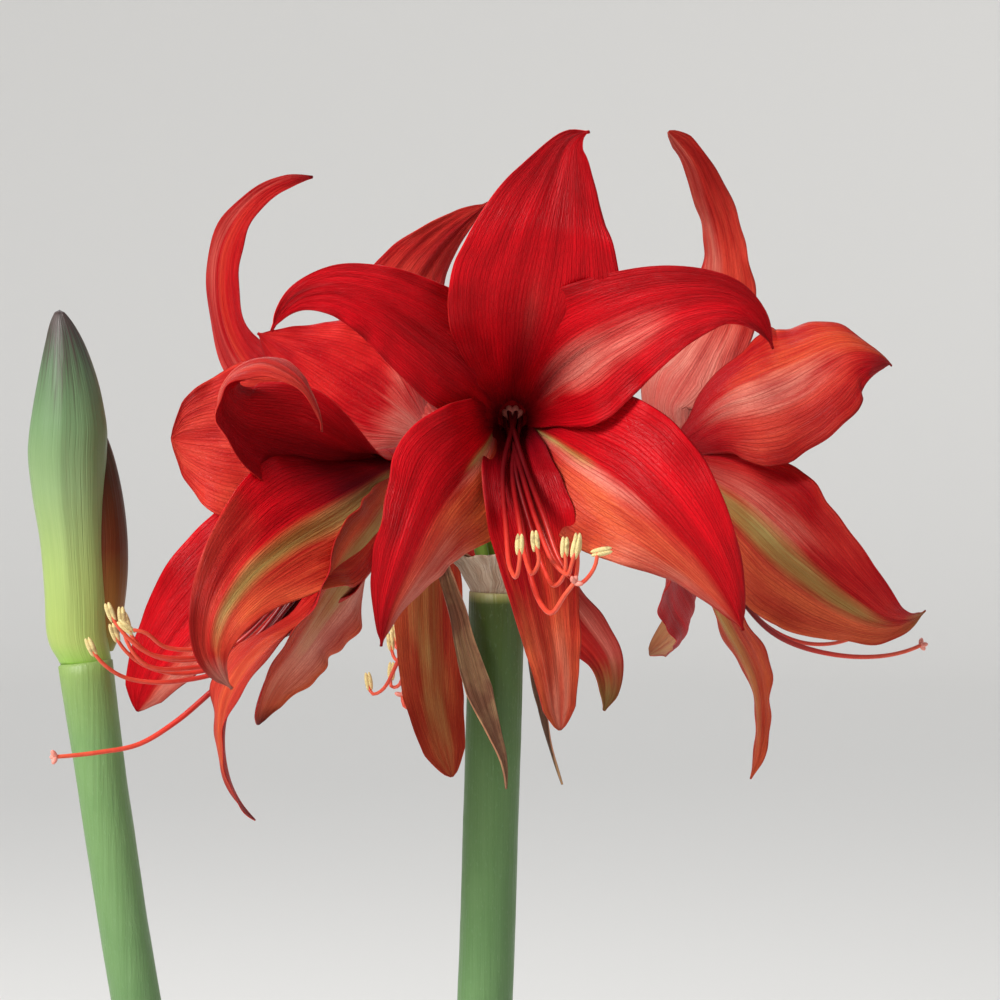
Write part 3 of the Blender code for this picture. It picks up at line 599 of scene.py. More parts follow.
def mottle_effect() -> Tree:
    """Soft blotches, and small specks."""
    def fill(graph: Graph, given: Outputs) -> Outputs:
        """Builds the nodes."""
        blotch = graph.noise(given["Place"], given["Size"], 4.0, 0.6)
        speck = graph.noise(given["Place"], graph.times(given["Size"], 14.0), 2.0, 0.6)
        return {"Blotch": graph.spread(blotch, 0.32, 0.68), "Speck": graph.spread(speck, 0.58, 0.72)}
    return effect("mottle", {"Place": ("NodeSocketVector", None), **floats(Size=40.0)}, fill)


# ---- finishes ---------------------------------------------------------------
@dataclass(frozen=True)
class Finish:
    """A material with its plain numbers; each kind draws its own pattern."""

    name: str
    roughness: float = 0.5
    specular: float = 0.5

    def material(self) -> bpy.types.Material:
        """The finish as a material, made once."""
        if self.name in bpy.data.materials:
            return bpy.data.materials[self.name]
        material = bpy.data.materials.new(self.name)
        material.use_nodes = True
        graph = Graph(material.node_tree)
        shader = next(node for node in material.node_tree.nodes if node.type == "BSDF_PRINCIPLED")
        shader.inputs["Roughness"].default_value = self.roughness
        shader.inputs["Specular IOR Level"].default_value = self.specular
        colour, rough, height, reach = self.pattern(graph)
        links = material.node_tree.links
        links.new(colour, shader.inputs["Base Color"])
        if rough is not None:
            links.new(rough, shader.inputs["Roughness"])
        if height is not None:
            bump = graph.add("ShaderNodeBump", {"Height": height, "Distance": reach * MM, "Strength": 1.0})
            links.new(bump.outputs[0], shader.inputs["Normal"])
        return material

    def pattern(self, graph: Graph) -> tuple:
        """What varies over the surface.

        Args:
            graph: The material's nodes.

        Returns:
            Colour, roughness or None, height or None, and the height's reach in millimetres.
        """
        raise NotImplementedError

    def dress(self, piece: Piece) -> Piece:
        """Gives a piece this finish alone.

        Args:
            piece: The piece.

        Returns:
            The same piece.
        """
        piece.data.materials.clear()
        piece.data.materials.append(self.material())
        return piece


class Tone(Enum):
    """The colours that lie over a tepal's red; the darkest is partly the tepal's own dark red at throat and tips and
    partly painted shade in the throat and under neighbouring tepals.
    """

    DEEP = "deep"
    OLIVE = "olive"
    PALE = "pale"
    AMBER = "amber"
    SALMON = "salmon"


@dataclass(frozen=True)
class PetalFinish(Finish):
    """Velvety red tepal with veins; the mesh says where its other colours lie, painted shade and a painted sheen
    highlight among them.
    """

    dark_red: Colour = (0.29, 0.0004, 0.0030)
    red: Colour = (0.66, 0.0016, 0.0080)
    # Dark maroon of the throat and tips, also laid on as painted shade.
    deep: Colour = (0.105, 0.0006, 0.0045)
    salmon_dark: Colour = (0.42, 0.026, 0.014)
    salmon: Colour = (0.70, 0.108, 0.056)
    amber_dark: Colour = (0.38, 0.034, 0.008)
    amber: Colour = (0.72, 0.145, 0.036)
    pale_dark: Colour = (0.47, 0.098, 0.074)
    pale: Colour = (0.76, 0.340, 0.255)
    olive_dark: Colour = (0.270, 0.150, 0.030)
    olive: Colour = (0.450, 0.345, 0.115)
    vein: Colour = (0.150, 0.0003, 0.0015)
    light_vein: Colour = (0.30, 0.006, 0.008)

    def pattern(self, graph: Graph) -> tuple:
        """Colour by zones with streaky edges, fine veins that darken them, and a ribbed relief."""
        blade = graph.blade()
        fibre = graph.group(fibre_effect(), blade | {"Count": 19.0, "Breaks": 2.6, "Wander": 0.14})
        streak, fine, line = fibre["Streak"], fibre["Fine"], fibre["Line"]
        net = graph.group(net_effect(), blade | {"Cells": 26.0, "Rows": 34.0})["Net"]
        spot = graph.vector(graph.times(blade["Across"], 1.7), graph.times(blade["Along"], 3.1), blade["Lot"])
        cloud = graph.spread(graph.noise(spot, 1.0, 2.0), 0.3, 0.7)
        mottled = graph.plus(graph.times(streak, 0.4), graph.times(cloud, 0.6))
        feather = graph.times(graph.minus(mottled, 0.5), 0.5)

        def zone(tone: Tone) -> Socket:
            """How much of a tone lies here, with streaky edges."""
            mark = graph.mark(tone.value)
            reach = graph.times(feather, graph.spread(mark, 0.0, 0.12))
            return graph.math("ADD", mark, reach, clamp=True)

        blend = graph.plus(graph.times(cloud, 0.55), graph.plus(graph.times(streak, 0.25), graph.times(fine, 0.20)))
        colour = graph.mix(blend, self.dark_red, self.red)
        salmon, amber, pale, olive = (zone(tone) for tone in (Tone.SALMON, Tone.AMBER, Tone.PALE, Tone.OLIVE))
        for share, dark, light in ((salmon, self.salmon_dark, self.salmon), (amber, self.amber_dark, self.amber),
                                   (pale, self.pale_dark, self.pale), (olive, self.olive_dark, self.olive)):
            colour = graph.mix(share, colour, graph.mix(blend, dark, light))
        paler = graph.greater(graph.greater(salmon, amber), pale)
        vein = graph.greater(line, graph.times(net, 0.35))
        strength = graph.times(graph.spread(paler, 0.0, 1.0, 0.46, 0.62), graph.spread(olive, 0.0, 1.0, 1.0, 0.35))
        colour = graph.mix(graph.times(vein, strength), colour, graph.mix(paler, self.vein, self.light_vein))
        # Last the darkest tone: the throat's and tips' own dark red, and painted shade in the throat and under
        # neighbouring tepals.
        colour = graph.mix(zone(Tone.DEEP), colour, self.deep)
        rough = graph.spread(fine, 0.0, 1.0, self.roughness - 0.06, self.roughness + 0.10)
        ribs = graph.plus(graph.times(streak, 0.55), graph.times(fine, 0.25))
        return colour, rough, graph.minus(ribs, graph.times(vein, 0.55)), 0.30


@dataclass(frozen=True)
class StemFinish(Finish):
    """Green stem with fine lengthwise fibres, pale flecks and a waxy bloom."""

    stops: Stops = ()
    low: float = 0.15
    high: float = 0.54
    fibre_tint: Colour = (0.66, 0.76, 0.56)
    blotch_tint: Colour = (1.5, 1.35, 1.4)
    fleck: Colour = (0.40, 0.58, 0.36)

    def pattern(self, graph: Graph) -> tuple:
        """Colour by height, with fibres and flecks."""
        place = graph.place()
        share = graph.spread(graph.height(place), self.low, self.high)
        share.node.interpolation_type = "LINEAR"
        fibres = graph.spread(graph.noise(graph.stretched(place, 900.0, 22.0), 1.0, 3.0, 0.6), 0.3, 0.7)
        blotch = graph.group(mottle_effect(), {"Place": place, "Size": 70.0})["Blotch"]
        fleck = graph.spread(graph.noise(graph.stretched(place, 1700.0, 520.0), 1.0, 1.0), 0.60, 0.74)
        colour = graph.mix(graph.times(fibres, 0.30), graph.ramp(share, self.stops), self.fibre_tint, "MULTIPLY")
        colour = graph.mix(graph.times(blotch, 0.18), colour, self.blotch_tint, "MULTIPLY")
        colour = graph.mix(graph.times(fleck, 0.06), colour, self.fleck)
        rough = graph.spread(blotch, 0.0, 1.0, self.roughness - 0.08, self.roughness + 0.08)
        return colour, rough, graph.plus(fibres, graph.times(fleck, 0.4)), 0.10


@dataclass(frozen=True)
class ThreadFinish(Finish):
    """Filament or style: a colour that runs along it, with soft streaks."""

    stops: Stops = ()
    blush: Colour = (0.75, 0.40, 0.30)

    def pattern(self, graph: Graph) -> tuple:
        """Colour by the share of the length."""
        cloud = graph.noise(graph.place(), 420.0, 2.0)
        blush = graph.spread(cloud, 0.4, 0.7, 0.0, 0.35)
        colour = graph.mix(blush, graph.ramp(graph.mark("along"), self.stops), self.blush, "MULTIPLY")
        return colour, None, cloud, 0.08


@dataclass(frozen=True)
class PollenFinish(Finish):
    """Powdery anther: pale yellow grains over an ochre slit."""

    light: Colour = (0.80, 0.66, 0.32)
    middle: Colour = (0.62, 0.47, 0.18)
    dark: Colour = (0.30, 0.20, 0.08)

    def pattern(self, graph: Graph) -> tuple:
        """Fine grains, darker in places."""
        place = graph.place()
        grain = graph.noise(place, 2600.0, 2.0, 0.7)
        patch = graph.spread(graph.noise(place, 330.0, 2.0), 0.52, 0.68)
        colour = graph.mix(graph.spread(grain, 0.3, 0.7), self.middle, self.light)
        return graph.mix(graph.times(patch, 0.65), colour, self.dark), None, grain, 0.25


@dataclass(frozen=True)
class HuskFinish(Finish):
    """Dry papery husk: a bract, or the bulb's tunic, with fibres and torn pale patches."""

    dark: Colour = (0.085, 0.030, 0.014)
    middle: Colour = (0.27, 0.115, 0.045)
    light: Colour = (0.50, 0.30, 0.13)
    count: float = 7.0
    breaks: float = 6.0

    def pattern(self, graph: Graph) -> tuple:
        """Brown fibres along the husk, with lighter and darker runs."""
        fibre = graph.group(fibre_effect(), graph.blade() | {"Count": self.count, "Breaks": self.breaks,
                                                             "Wander": 0.25})
        streak, fine, line = fibre["Streak"], fibre["Fine"], fibre["Line"]
        blotch = graph.group(mottle_effect(), {"Place": graph.place(), "Size": 55.0})["Blotch"]
        colour = graph.mix(streak, self.dark, self.middle)
        colour = graph.mix(graph.times(fine, graph.spread(blotch, 0.3, 0.9)), colour, self.light)
        furrow = graph.times(line, 0.6)
        colour = graph.mix(furrow, colour, self.dark)
        rough = graph.spread(fine, 0.0, 1.0, self.roughness - 0.12, self.roughness + 0.1)
        return colour, rough, graph.plus(graph.times(streak, 0.8), graph.minus(fine, furrow)), 0.45


@dataclass(frozen=True)
class BudFinish(Finish):
    """A bud valve: a colour by height, lengthwise veins, and dark runs down from the tip."""

    stops: Stops = ()
    vein_tint: Colour = (0.55, 0.68, 0.50)
    run_colour: Colour = (0.055, 0.030, 0.026)
    run_from: float = 0.55

    def pattern(self, graph: Graph) -> tuple:
        """Colour by the share of the height, with veins and runs."""
        blade = graph.blade()
        fibre = graph.group(fibre_effect(), blade | {"Count": 22.0, "Breaks": 2.2, "Wander": 0.05})
        streak, line = fibre["Streak"], fibre["Line"]
        shade = graph.plus(graph.times(streak, 0.75), graph.times(line, 0.25))
        colour = graph.mix(graph.times(shade, 0.26), graph.ramp(blade["Along"], self.stops), self.vein_tint,
                           "MULTIPLY")
        run = graph.plus(blade["Along"], graph.times(graph.minus(streak, 0.5), 0.30))
        run = graph.times(graph.spread(run, self.run_from, 1.02), 0.95)
        rough = graph.spread(fibre["Fine"], 0.0, 1.0, self.roughness - 0.05, self.roughness + 0.1)
        return graph.mix(run, colour, self.run_colour), rough, graph.plus(streak, graph.times(line, -0.4)), 0.09


@dataclass(frozen=True)
class ClayFinish(Finish):
    """Fired clay with throwing marks, pores and a pale lime bloom."""

    clay: Colour = (0.46, 0.175, 0.085)
    burnt: Colour = (0.30, 0.095, 0.045)
    pore: Colour = (0.20, 0.07, 0.04)
    lime: Colour = (0.62, 0.48, 0.38)
    damp_top: float = 0.035
    rim_low: float = 0.075
    rim_high: float = 0.102

    def pattern(self, graph: Graph) -> tuple:
        """Cloudy clay, fine rings and pores, with lime towards the foot and the rim."""
        place = graph.place()
        cloud = graph.group(mottle_effect(), {"Place": place, "Size": 22.0})["Blotch"]
        fine = graph.group(mottle_effect(), {"Place": place, "Size": 90.0})
        rings = graph.noise(graph.stretched(place, 6.0, 900.0), 1.0, 2.0, 0.6)
        height = graph.height(place)
        colour = graph.mix(cloud, self.burnt, self.clay)
        colour = graph.mix(graph.times(fine["Speck"], 0.5), colour, self.pore)
        foot = graph.times(graph.spread(height, self.damp_top, 0.0), 0.45)
        rim = graph.times(graph.spread(height, self.rim_low, self.rim_high), 0.35)
        colour = graph.mix(graph.times(graph.greater(foot, rim), fine["Blotch"]), colour, self.lime)
        relief = graph.plus(graph.times(rings, 0.8), graph.times(fine["Speck"], -0.5))
        return colour, graph.spread(cloud, 0.0, 1.0, 0.72, 0.9), relief, 0.5


@dataclass(frozen=True)
class SoilFinish(Finish):
    """Moist potting soil."""

    dark: Colour = (0.014, 0.0085, 0.0055)
    light: Colour = (0.085, 0.052, 0.030)
    chaff: Colour = (0.16, 0.11, 0.07)

    def pattern(self, graph: Graph) -> tuple:
        """Coarse and fine grains."""
        place = graph.place()
        coarse = graph.noise(place, 260.0, 4.0, 0.7)
        fine = graph.noise(place, 1500.0, 2.0, 0.7)
        colour = graph.mix(graph.spread(coarse, 0.35, 0.70), self.dark, self.light)
        colour = graph.mix(graph.spread(fine, 0.62, 0.78), colour, self.chaff)
        return colour, None, graph.plus(coarse, graph.times(fine, 0.5)), 0.9


@dataclass(frozen=True)
class StageFinish(Finish):
    """Plain pale floor."""

    colour: Colour = (0.74, 0.725, 0.70)

    def pattern(self, graph: Graph) -> tuple:
        """A barely clouded plain colour."""
        cloud = graph.noise(graph.place(), 0.6, 1.0)
        lighter = tuple(min(1.0, value * 1.03) for value in self.colour)
        return graph.mix(cloud, self.colour, lighter), None, None, 0.0


PETAL = PetalFinish("petal_red", roughness=0.44, specular=0.11)
# Main scape: the dark stops from 0.84 to 0.988 are painted shadow of the umbel on the scape's top; the two pale last
# stops are its rim.
SCAPE_GREEN_UMBEL_SHADOW = StemFinish("scape_green", roughness=0.42, specular=0.35, stops=(
    (0.0, (0.26, 0.36, 0.12)), (0.10, (0.14, 0.27, 0.095)), (0.55, (0.115, 0.225, 0.085)),
    (0.84, (0.090, 0.175, 0.055)), (0.93, (0.055, 0.105, 0.020)), (0.988, (0.045, 0.070, 0.010)),
    (0.994, (0.26, 0.27, 0.08)), (1.0, (0.50, 0.44, 0.22))), low=0.165, high=0.5384)
BUD_GREEN = StemFinish("bud_scape_green", roughness=0.42, specular=0.35, stops=(
    (0.0, (0.24, 0.34, 0.12)), (0.12, (0.115, 0.23, 0.085)), (0.6, (0.12, 0.23, 0.09)), (0.92, (0.15, 0.27, 0.095)),
    (1.0, (0.22, 0.32, 0.09))), low=0.165, high=0.5145)
STALK_GREEN = StemFinish("stalk_green", roughness=0.40, specular=0.3, stops=(
    (0.0, (0.24, 0.40, 0.06)), (1.0, (0.22, 0.36, 0.05))), low=0.53, high=0.60)
# Filaments darken towards the root: partly their own deep red and partly painted shade where they lie in the throat.
FILAMENT = ThreadFinish("filament_coral", roughness=0.36, specular=0.3, stops=(
    (0.0, (0.05, 0.001, 0.002)), (0.43, (0.10, 0.001, 0.003)), (0.60, (0.30, 0.004, 0.005)),
    (0.76, (0.62, 0.036, 0.020)), (1.0, (0.74, 0.105, 0.052))))
STIGMA = ThreadFinish("stigma_pink", roughness=0.5, stops=((0.0, (0.80, 0.28, 0.22)), (1.0, (0.85, 0.40, 0.34))))
SCALE = ThreadFinish("throat_scale", roughness=0.5, specular=0.2, stops=(
    (0.0, (0.58, 0.17, 0.13)), (1.0, (0.74, 0.33, 0.24))))
POLLEN = PollenFinish("anther_pollen", roughness=0.85)
BRACT = HuskFinish("bract_husk", roughness=0.5, specular=0.4, dark=(0.24, 0.090, 0.050), middle=(0.57, 0.240, 0.120),
                   light=(0.74, 0.46, 0.22), count=11.0, breaks=1.6)
COLLAR = HuskFinish("collar_husk", roughness=0.7, dark=(0.30, 0.18, 0.11), middle=(0.52, 0.40, 0.29),
                    light=(0.68, 0.60, 0.50), count=14.0, breaks=1.2)
TUNIC = HuskFinish("bulb_tunic", roughness=0.55, dark=(0.085, 0.030, 0.012), middle=(0.25, 0.105, 0.040),
                   light=(0.46, 0.26, 0.11), count=26.0, breaks=5.0)
NECK = HuskFinish("bulb_neck", roughness=0.6, dark=(0.34, 0.23, 0.10), middle=(0.52, 0.44, 0.24),
                  light=(0.66, 0.62, 0.40), count=26.0, breaks=4.0)
FRONT_BUD = BudFinish("bud_green", roughness=0.36, specular=0.4, run_from=0.80, stops=(
    (0.0, (0.26, 0.46, 0.07)), (0.07, (0.34, 0.43, 0.11)), (0.26, (0.33, 0.43, 0.13)), (0.50, (0.23, 0.335, 0.145)),
    (0.68, (0.145, 0.24, 0.11)), (0.84, (0.090, 0.15, 0.075)), (0.94, (0.055, 0.072, 0.050)),
    (1.0, (0.035, 0.022, 0.026))))
BACK_BUD = BudFinish("bud_brown", roughness=0.42, specular=0.3, run_from=0.75, run_colour=(0.03, 0.035, 0.015),
                     stops=((0.0, (0.28, 0.30, 0.05)), (0.15, (0.30, 0.13, 0.022)), (0.45, (0.13, 0.026, 0.006)),
                            (0.75, (0.070, 0.022, 0.008)), (1.0, (0.05, 0.05, 0.02))))
CLAY = ClayFinish("fired_clay", roughness=0.8)
SOIL = SoilFinish("potting_soil", roughness=0.95, specular=0.3)
GRIT = StageFinish("perlite", roughness=0.9, colour=(0.66, 0.64, 0.58))
STAGE = StageFinish("floor", roughness=0.9)


# ---- geometry nodes ---------------------------------------------------------
class GrowthTree:
    """A geometry-node tree with named inputs, run on an object and then taken off it."""

    def __init__(self, name: str, inputs: dict[str, tuple[str, object]],
                 fill: Callable[[Graph, Outputs], Socket]) -> None:
        """Builds the tree.

        Args:
            name: The tree's name.
            inputs: Socket kind and first value of each input.
            fill: Builds the nodes and returns the geometry, before its material.
        """
        self.tree = bpy.data.node_groups.new(name, "GeometryNodeTree")
        new_socket = self.tree.interface.new_socket
        new_socket("Geometry", in_out="INPUT", socket_type="NodeSocketGeometry")
        self.sockets = {}
        for key, (kind, value) in inputs.items():
            self.sockets[key] = new_socket(key, in_out="INPUT", socket_type=kind)
            self.sockets[key].default_value = value
        self.sockets["Finish"] = new_socket("Finish", in_out="INPUT", socket_type="NodeSocketMaterial")
        new_socket("Geometry", in_out="OUTPUT", socket_type="NodeSocketGeometry")
        graph = Graph(self.tree)
        start = graph.add("NodeGroupInput").outputs
        grown = fill(graph, {key: start[key] for key in ("Geometry", *inputs)})
        real = graph.out("GeometryNodeRealizeInstances", {0: grown})
        smooth = graph.out("GeometryNodeSetShadeSmooth", {0: real})
        dressed = graph.out("GeometryNodeSetMaterial", {0: smooth, 2: start["Finish"]})
        graph.add("NodeGroupOutput", {0: dressed})

    def grow(self, piece: Piece, finish: Finish, **values: object) -> Piece:
        """Runs the tree on a piece and leaves it a plain mesh.

        Args:
            piece: What the tree starts from.
            finish: The finish of the result.
            values: Inputs by name, with _ for a space.

        Returns:
            The piece.
        """
        modifier = piece.modifiers.new("Growth", "NODES")
        modifier.node_group = self.tree
        modifier[self.sockets["Finish"].identifier] = finish.material()
        for key, value in values.items():
            modifier[self.sockets[key.replace("_", " ")].identifier] = value
        bpy.context.view_layer.update()
        evaluated = piece.evaluated_get(bpy.context.evaluated_depsgraph_get())
        mesh = bpy.data.meshes.new_from_object(evaluated)
        piece.modifiers.clear()
        old, piece.data = piece.data, mesh
        bpy.data.meshes.remove(old)
        mesh.name = piece.name
        if len(mesh.materials) == 0 or mesh.materials[0] is None:
            finish.dress(piece)
        return piece


def bar_tree() -> GrowthTree:
    """Round bars along lines, each point with a radius of its own, and a slightly uneven skin."""
    def fill(graph: Graph, given: Outputs) -> Socket:
        """Builds the nodes."""
        line = graph.out("GeometryNodeMeshToCurve", {0: given["Geometry"]})
        radius = graph.out("GeometryNodeInputNamedAttribute", {"Name": "bar_radius"}, data_type="FLOAT")
        ring = graph.out("GeometryNodeCurvePrimitiveCircle", {0: given["Sides"], 4: 1.0})
        bar = graph.add("GeometryNodeCurveToMesh", {"Curve": line, "Profile Curve": ring, "Scale": radius,
                                                    "Fill Caps": True})
        normal = graph.out("GeometryNodeInputNormal")
        place = graph.out("GeometryNodeInputPosition")
        cloud = graph.noise(place, given["Waves"], 2.0)
        push = graph.scaled(normal, graph.times(graph.minus(cloud, 0.5), given["Relief"]))
        return graph.out("GeometryNodeSetPosition", {"Geometry": bar.outputs[0], "Offset": push})
    return GrowthTree("bars_on_lines", {"Sides": ("NodeSocketInt", 12), **floats(Relief=0.0, Waves=60.0)}, fill)


def lobe_tree() -> GrowthTree:
    """A row of long lobes on each point, leaning the way the point says."""
    def fill(graph: Graph, given: Outputs) -> Socket:
        """Builds the nodes."""
        ball = graph.out("GeometryNodeMeshUVSphere", {0: 10, 1: 9, 2: 1.0})
        size = graph.vector(given["Width"], given["Width"], given["Length"])
        lobe = graph.out("GeometryNodeTransform", {"Geometry": ball, "Scale": size})
        gap = graph.vector(given["Gap"], 0.0, 0.0)
        back = graph.times(graph.minus(given["Lobes"], 1.0), -0.5)
        first = graph.vector(graph.times(given["Gap"], back), 0.0, 0.0)
        row = graph.out("GeometryNodeMeshLine", {"Count": given["Lobes"], "Start Location": first,
                                                 "Offset": gap})
        pair = graph.out("GeometryNodeInstanceOnPoints", {"Points": row, "Instance": lobe})
        lean = graph.out("GeometryNodeInputNamedAttribute", {"Name": "lean"}, data_type="FLOAT_VECTOR")
        turn = graph.out("FunctionNodeAlignRotationToVector", {"Vector": lean}, axis="Z")
        return graph.out("GeometryNodeInstanceOnPoints", {"Points": given["Geometry"], "Instance": pair,
                                                          "Rotation": turn})
    return GrowthTree("lobes_on_points", {"Lobes": ("NodeSocketInt", 2),
                                          **floats(Gap=0.001, Width=0.001, Length=0.003)}, fill)


def crumb_tree() -> GrowthTree:
    """Crumbs strewn over a surface, each turned and sized at random, then roughened."""
    def fill(graph: Graph, given: Outputs) -> Socket:
        """Builds the nodes."""
        strewn = graph.out("GeometryNodeDistributePointsOnFaces", {
            "Mesh": given["Geometry"], "Density": given["Density"], "Seed": given["Seed"]})
        ball = graph.out("GeometryNodeMeshIcoSphere", {0: 1.0, 1: 1})
        turn = graph.out("FunctionNodeRandomValue", {"Min": (0.0, 0.0, 0.0), "Max": (6.28, 6.28, 6.28),
                                                     "Seed": given["Seed"]}, data_type="FLOAT_VECTOR")
        size = graph.out("FunctionNodeRandomValue", {0: (0.4, 0.4, 0.35), 1: (1.3, 1.0, 0.8), "Seed": 11},
                         data_type="FLOAT_VECTOR")
        crumbs = graph.out("GeometryNodeInstanceOnPoints", {
            "Points": strewn, "Instance": ball, "Rotation": turn,
            "Scale": graph.scaled(size, given["Size"])})
        real = graph.out("GeometryNodeRealizeInstances", {0: crumbs})
        place = graph.out("GeometryNodeInputPosition")
        cloud = graph.add("ShaderNodeTexNoise", {"Vector": place, "Scale": 700.0, "Detail": 1.0}).outputs[1]
        shake = graph.out("ShaderNodeVectorMath", {0: cloud, 1: (0.5, 0.5, 0.5)}, operation="SUBTRACT")
        shake = graph.scaled(shake, given["Size"])
        return graph.out("GeometryNodeSetPosition", {"Geometry": real, "Offset": shake})
    return GrowthTree("crumbs_on_surface", {**floats(Density=1000.0), "Seed": ("NodeSocketInt", 1),
                                            **floats(Size=0.002)}, fill)


def turned_tree() -> GrowthTree:
    """A body turned round the upright axis from a line of radius and height."""
    def fill(graph: Graph, given: Outputs) -> Socket:
        """Builds the nodes."""
        profile = graph.out("GeometryNodeMeshToCurve", {0: given["Geometry"]})
        ring = graph.out("GeometryNodeCurvePrimitiveCircle", {0: given["Sides"], 4: given["Rail"]})
        body = graph.out("GeometryNodeCurveToMesh", {"Curve": ring, "Profile Curve": profile})
        return graph.out("GeometryNodeMergeByDistance", {"Geometry": body, "Distance": 0.00002})
    return GrowthTree("turned_body", {"Sides": ("NodeSocketInt", 96), **floats(Rail=0.01)}, fill)


# ---- the umbel --------------------------------------------------------------
@dataclass(frozen=True)
class Wash:
    """A soft-edged area of one tone on a tepal's face."""

    tone: Tone
    strength: float
    along: tuple[float, float] = (-1.0, 2.0)
    across: tuple[float, float] = (-2.0, 2.0)
    soft: float = 0.15


DEEP, OLIVE, PALE, AMBER, SALMON = Tone.DEEP, Tone.OLIVE, Tone.PALE, Tone.AMBER, Tone.SALMON
# Inner faces darken towards the throat: partly the throat's own dark red, partly painted shade in the throat.
INNER = (Wash(DEEP, 0.8, (-1, 0.08), soft=0.14), Wash(DEEP, 0.6, (-1, 0.32), (-0.20, 0.20), 0.18))
OUTER = (Wash(SALMON, 0.26), Wash(PALE, 0.42, (-1, 0.24), soft=0.2),
         Wash(OLIVE, 0.4, (-1, 0.5), (-0.10, 0.10), 0.14))


@dataclass(frozen=True)
class Tepal:
    """One tepal: its midrib, its outline, how its edges bend, and the tones of its faces."""

    clock: float
    width: float
    peak: float
    tail: float
    cup: tuple[float, ...]
    midrib: tuple[Point, ...]
    inner: bool = False
    wave: float = 1.6
    blunt: float = 0.0
    face: tuple[Wash, ...] = INNER
    back: tuple[Wash, ...] = OUTER


@dataclass(frozen=True)
class Bloom:
    """One open bloom: six tepals on a tube."""

    name: str
    throat: Point
    facing: Point
    tepals: tuple[Tepal, ...]
    rows: int = 97
    columns: int = 33
    tube_length: float = 18.0
    tube_mouth: float = 8.8
    tube_base: float = 3.2
    thickness: float = 0.85
    inner_inset: float = 2.2
    outer_inset: float = 0.6
    neck: float = 6.5
    groove_depth: float = 0.9
    groove_width: float = 1.9
    ruffle: float = 0.75
    pleat: float = 0.28
    scale_clocks: tuple[float, ...] = (-62, -22, 22, 62)

    def surface(self, tepal: Tepal, lot: int) -> tuple[np.ndarray, np.ndarray, np.ndarray]:
        """Middle surface of a tepal.

        Args:
            tepal: The tepal.
            lot: Its number, which sets its small folds.

        Returns:
            The surface's points, the share along the blade of each row, and across of each column.
        """
        throat = np.array(self.throat, float)
        radial, axis = clock_radial(self.facing, tepal.clock)
        ring = self.tube_mouth - (self.inner_inset if tepal.inner else self.outer_inset)
        start = [throat - axis * self.tube_length * 0.3 + radial * (ring - 1.2), throat + radial * ring]
        path, at = smooth_path(start + [p[:3] for p in tepal.midrib], self.rows)
        normals, sides = turned_frames(path, at[2:], tepal.midrib, -radial, at[1])
        share = np.linspace(0, 1, self.rows)
        blade = np.clip((share - at[1]) / (1 - at[1]), 0, 1)
        half_width, neck = tepal.width / 2, self.neck
        rise = np.sin(np.clip(blade / tepal.peak, 0, 1) * np.pi / 2) ** 1.3
        fall = np.clip((blade - tepal.peak) / (1 - tepal.peak), 0, 1)
        falling = 1 - (1 - tepal.blunt) * fall ** tepal.tail
        falling *= np.sqrt(np.clip((1 - blade) / (0.04 + 0.08 * tepal.blunt), 0, 1))
        taper = np.interp(share, [0, at[1]], [0.5, 1.0])
        half = np.where(blade < tepal.peak, neck * taper + (half_width - neck) * rise, half_width * falling)
        half = np.maximum(half, 0.5)
        stations = np.concatenate([[0, at[1]], at[1] + (1 - at[1]) * np.linspace(0.18, 1, len(tepal.cup))])
        cup = np.radians(np.interp(share, stations, [60, 55, *tepal.cup]))
        s = np.linspace(-1, 1, self.columns)[None, :]
        bend = (cup / half)[:, None]
        bend = np.where(np.abs(bend) < 1e-5, 1e-5, bend)
        spread = s * half[:, None]
        across = np.sin(bend * spread) / bend
        inward = (1 - np.cos(bend * spread)) / bend
        swell = (np.sin(np.pi * blade) ** 0.7)[:, None]
        turns = 2 * np.pi * blade[:, None]
        inward += tepal.wave * swell * np.abs(s) ** 2.5 * np.sin(3 * turns + 2 * np.pi * 0.35 * (s > 0))
        inward += (self.ruffle * swell * np.abs(s) ** 3.4 * np.sin(8.7 * turns + 1.7 * lot + 2.1 * (s > 0))
                   * (0.65 + 0.35 * np.sin(2.3 * turns + lot)))
        pleats = np.cos(np.pi * 5.5 * s + 1.3 * lot + 1.2 * np.sin(turns + lot))
        inward += self.pleat * swell * pleats * (1 - 0.5 * np.abs(s))
        inward -= self.groove_depth * np.exp(-(spread / self.groove_width) ** 2) * swell
        return swept(path, sides, normals, across, inward), blade, s[0]

    def petals(self) -> Piece:
        """The six tepals as one dressed piece."""
        sheets = Sheets()
        for lot, tepal in enumerate(self.tepals):
            surface, blade, s = self.surface(tepal, lot)
            along, across = np.meshgrid(blade, s, indexing="ij")
            thickness = self.thickness * (1 - 0.5 * np.abs(across) ** 2) * (1 - 0.3 * along)
            faces = []
            for washes in (tepal.face, tepal.back):
                marks = {"along": along, "across": across, "lot": np.full_like(along, lot * 4.3 + len(self.name))}
                for tone in Tone:
                    layers = [wash.strength * soft_box(along, *wash.along, wash.soft)
                              * soft_box(across, *wash.across, wash.soft) for wash in washes if wash.tone is tone]
                    marks[tone.value] = np.max(layers, axis=0) if layers else np.zeros_like(along)
                faces.append(marks)
            sheets.add(surface, thickness, *faces)
        piece = sheets.piece("petals_" + self.name, SCAPE_TOP)
        return PETAL.dress(face_outwards(piece))

    def fringe(self, lobes: GrowthTree) -> Piece:
        """Small pale scales round the throat, which close it above the stamens.

        Args:
            lobes: The tree that sets lobes on points.

        Returns:
            The dressed piece.
        """
        spots, leans = [], []
        for clock in self.scale_clocks:
            radial, axis = clock_radial(self.facing, clock)
            spots.append(np.array(self.throat) + radial * 1.7 + axis * 1.6)
            leans.append(axis - radial * 0.9)
        piece = leaning_spots("fringe_" + self.name, spots, leans)
        return lobes.grow(piece, SCALE, Lobes=1, Width=1.4 * MM, Length=2.9 * MM)

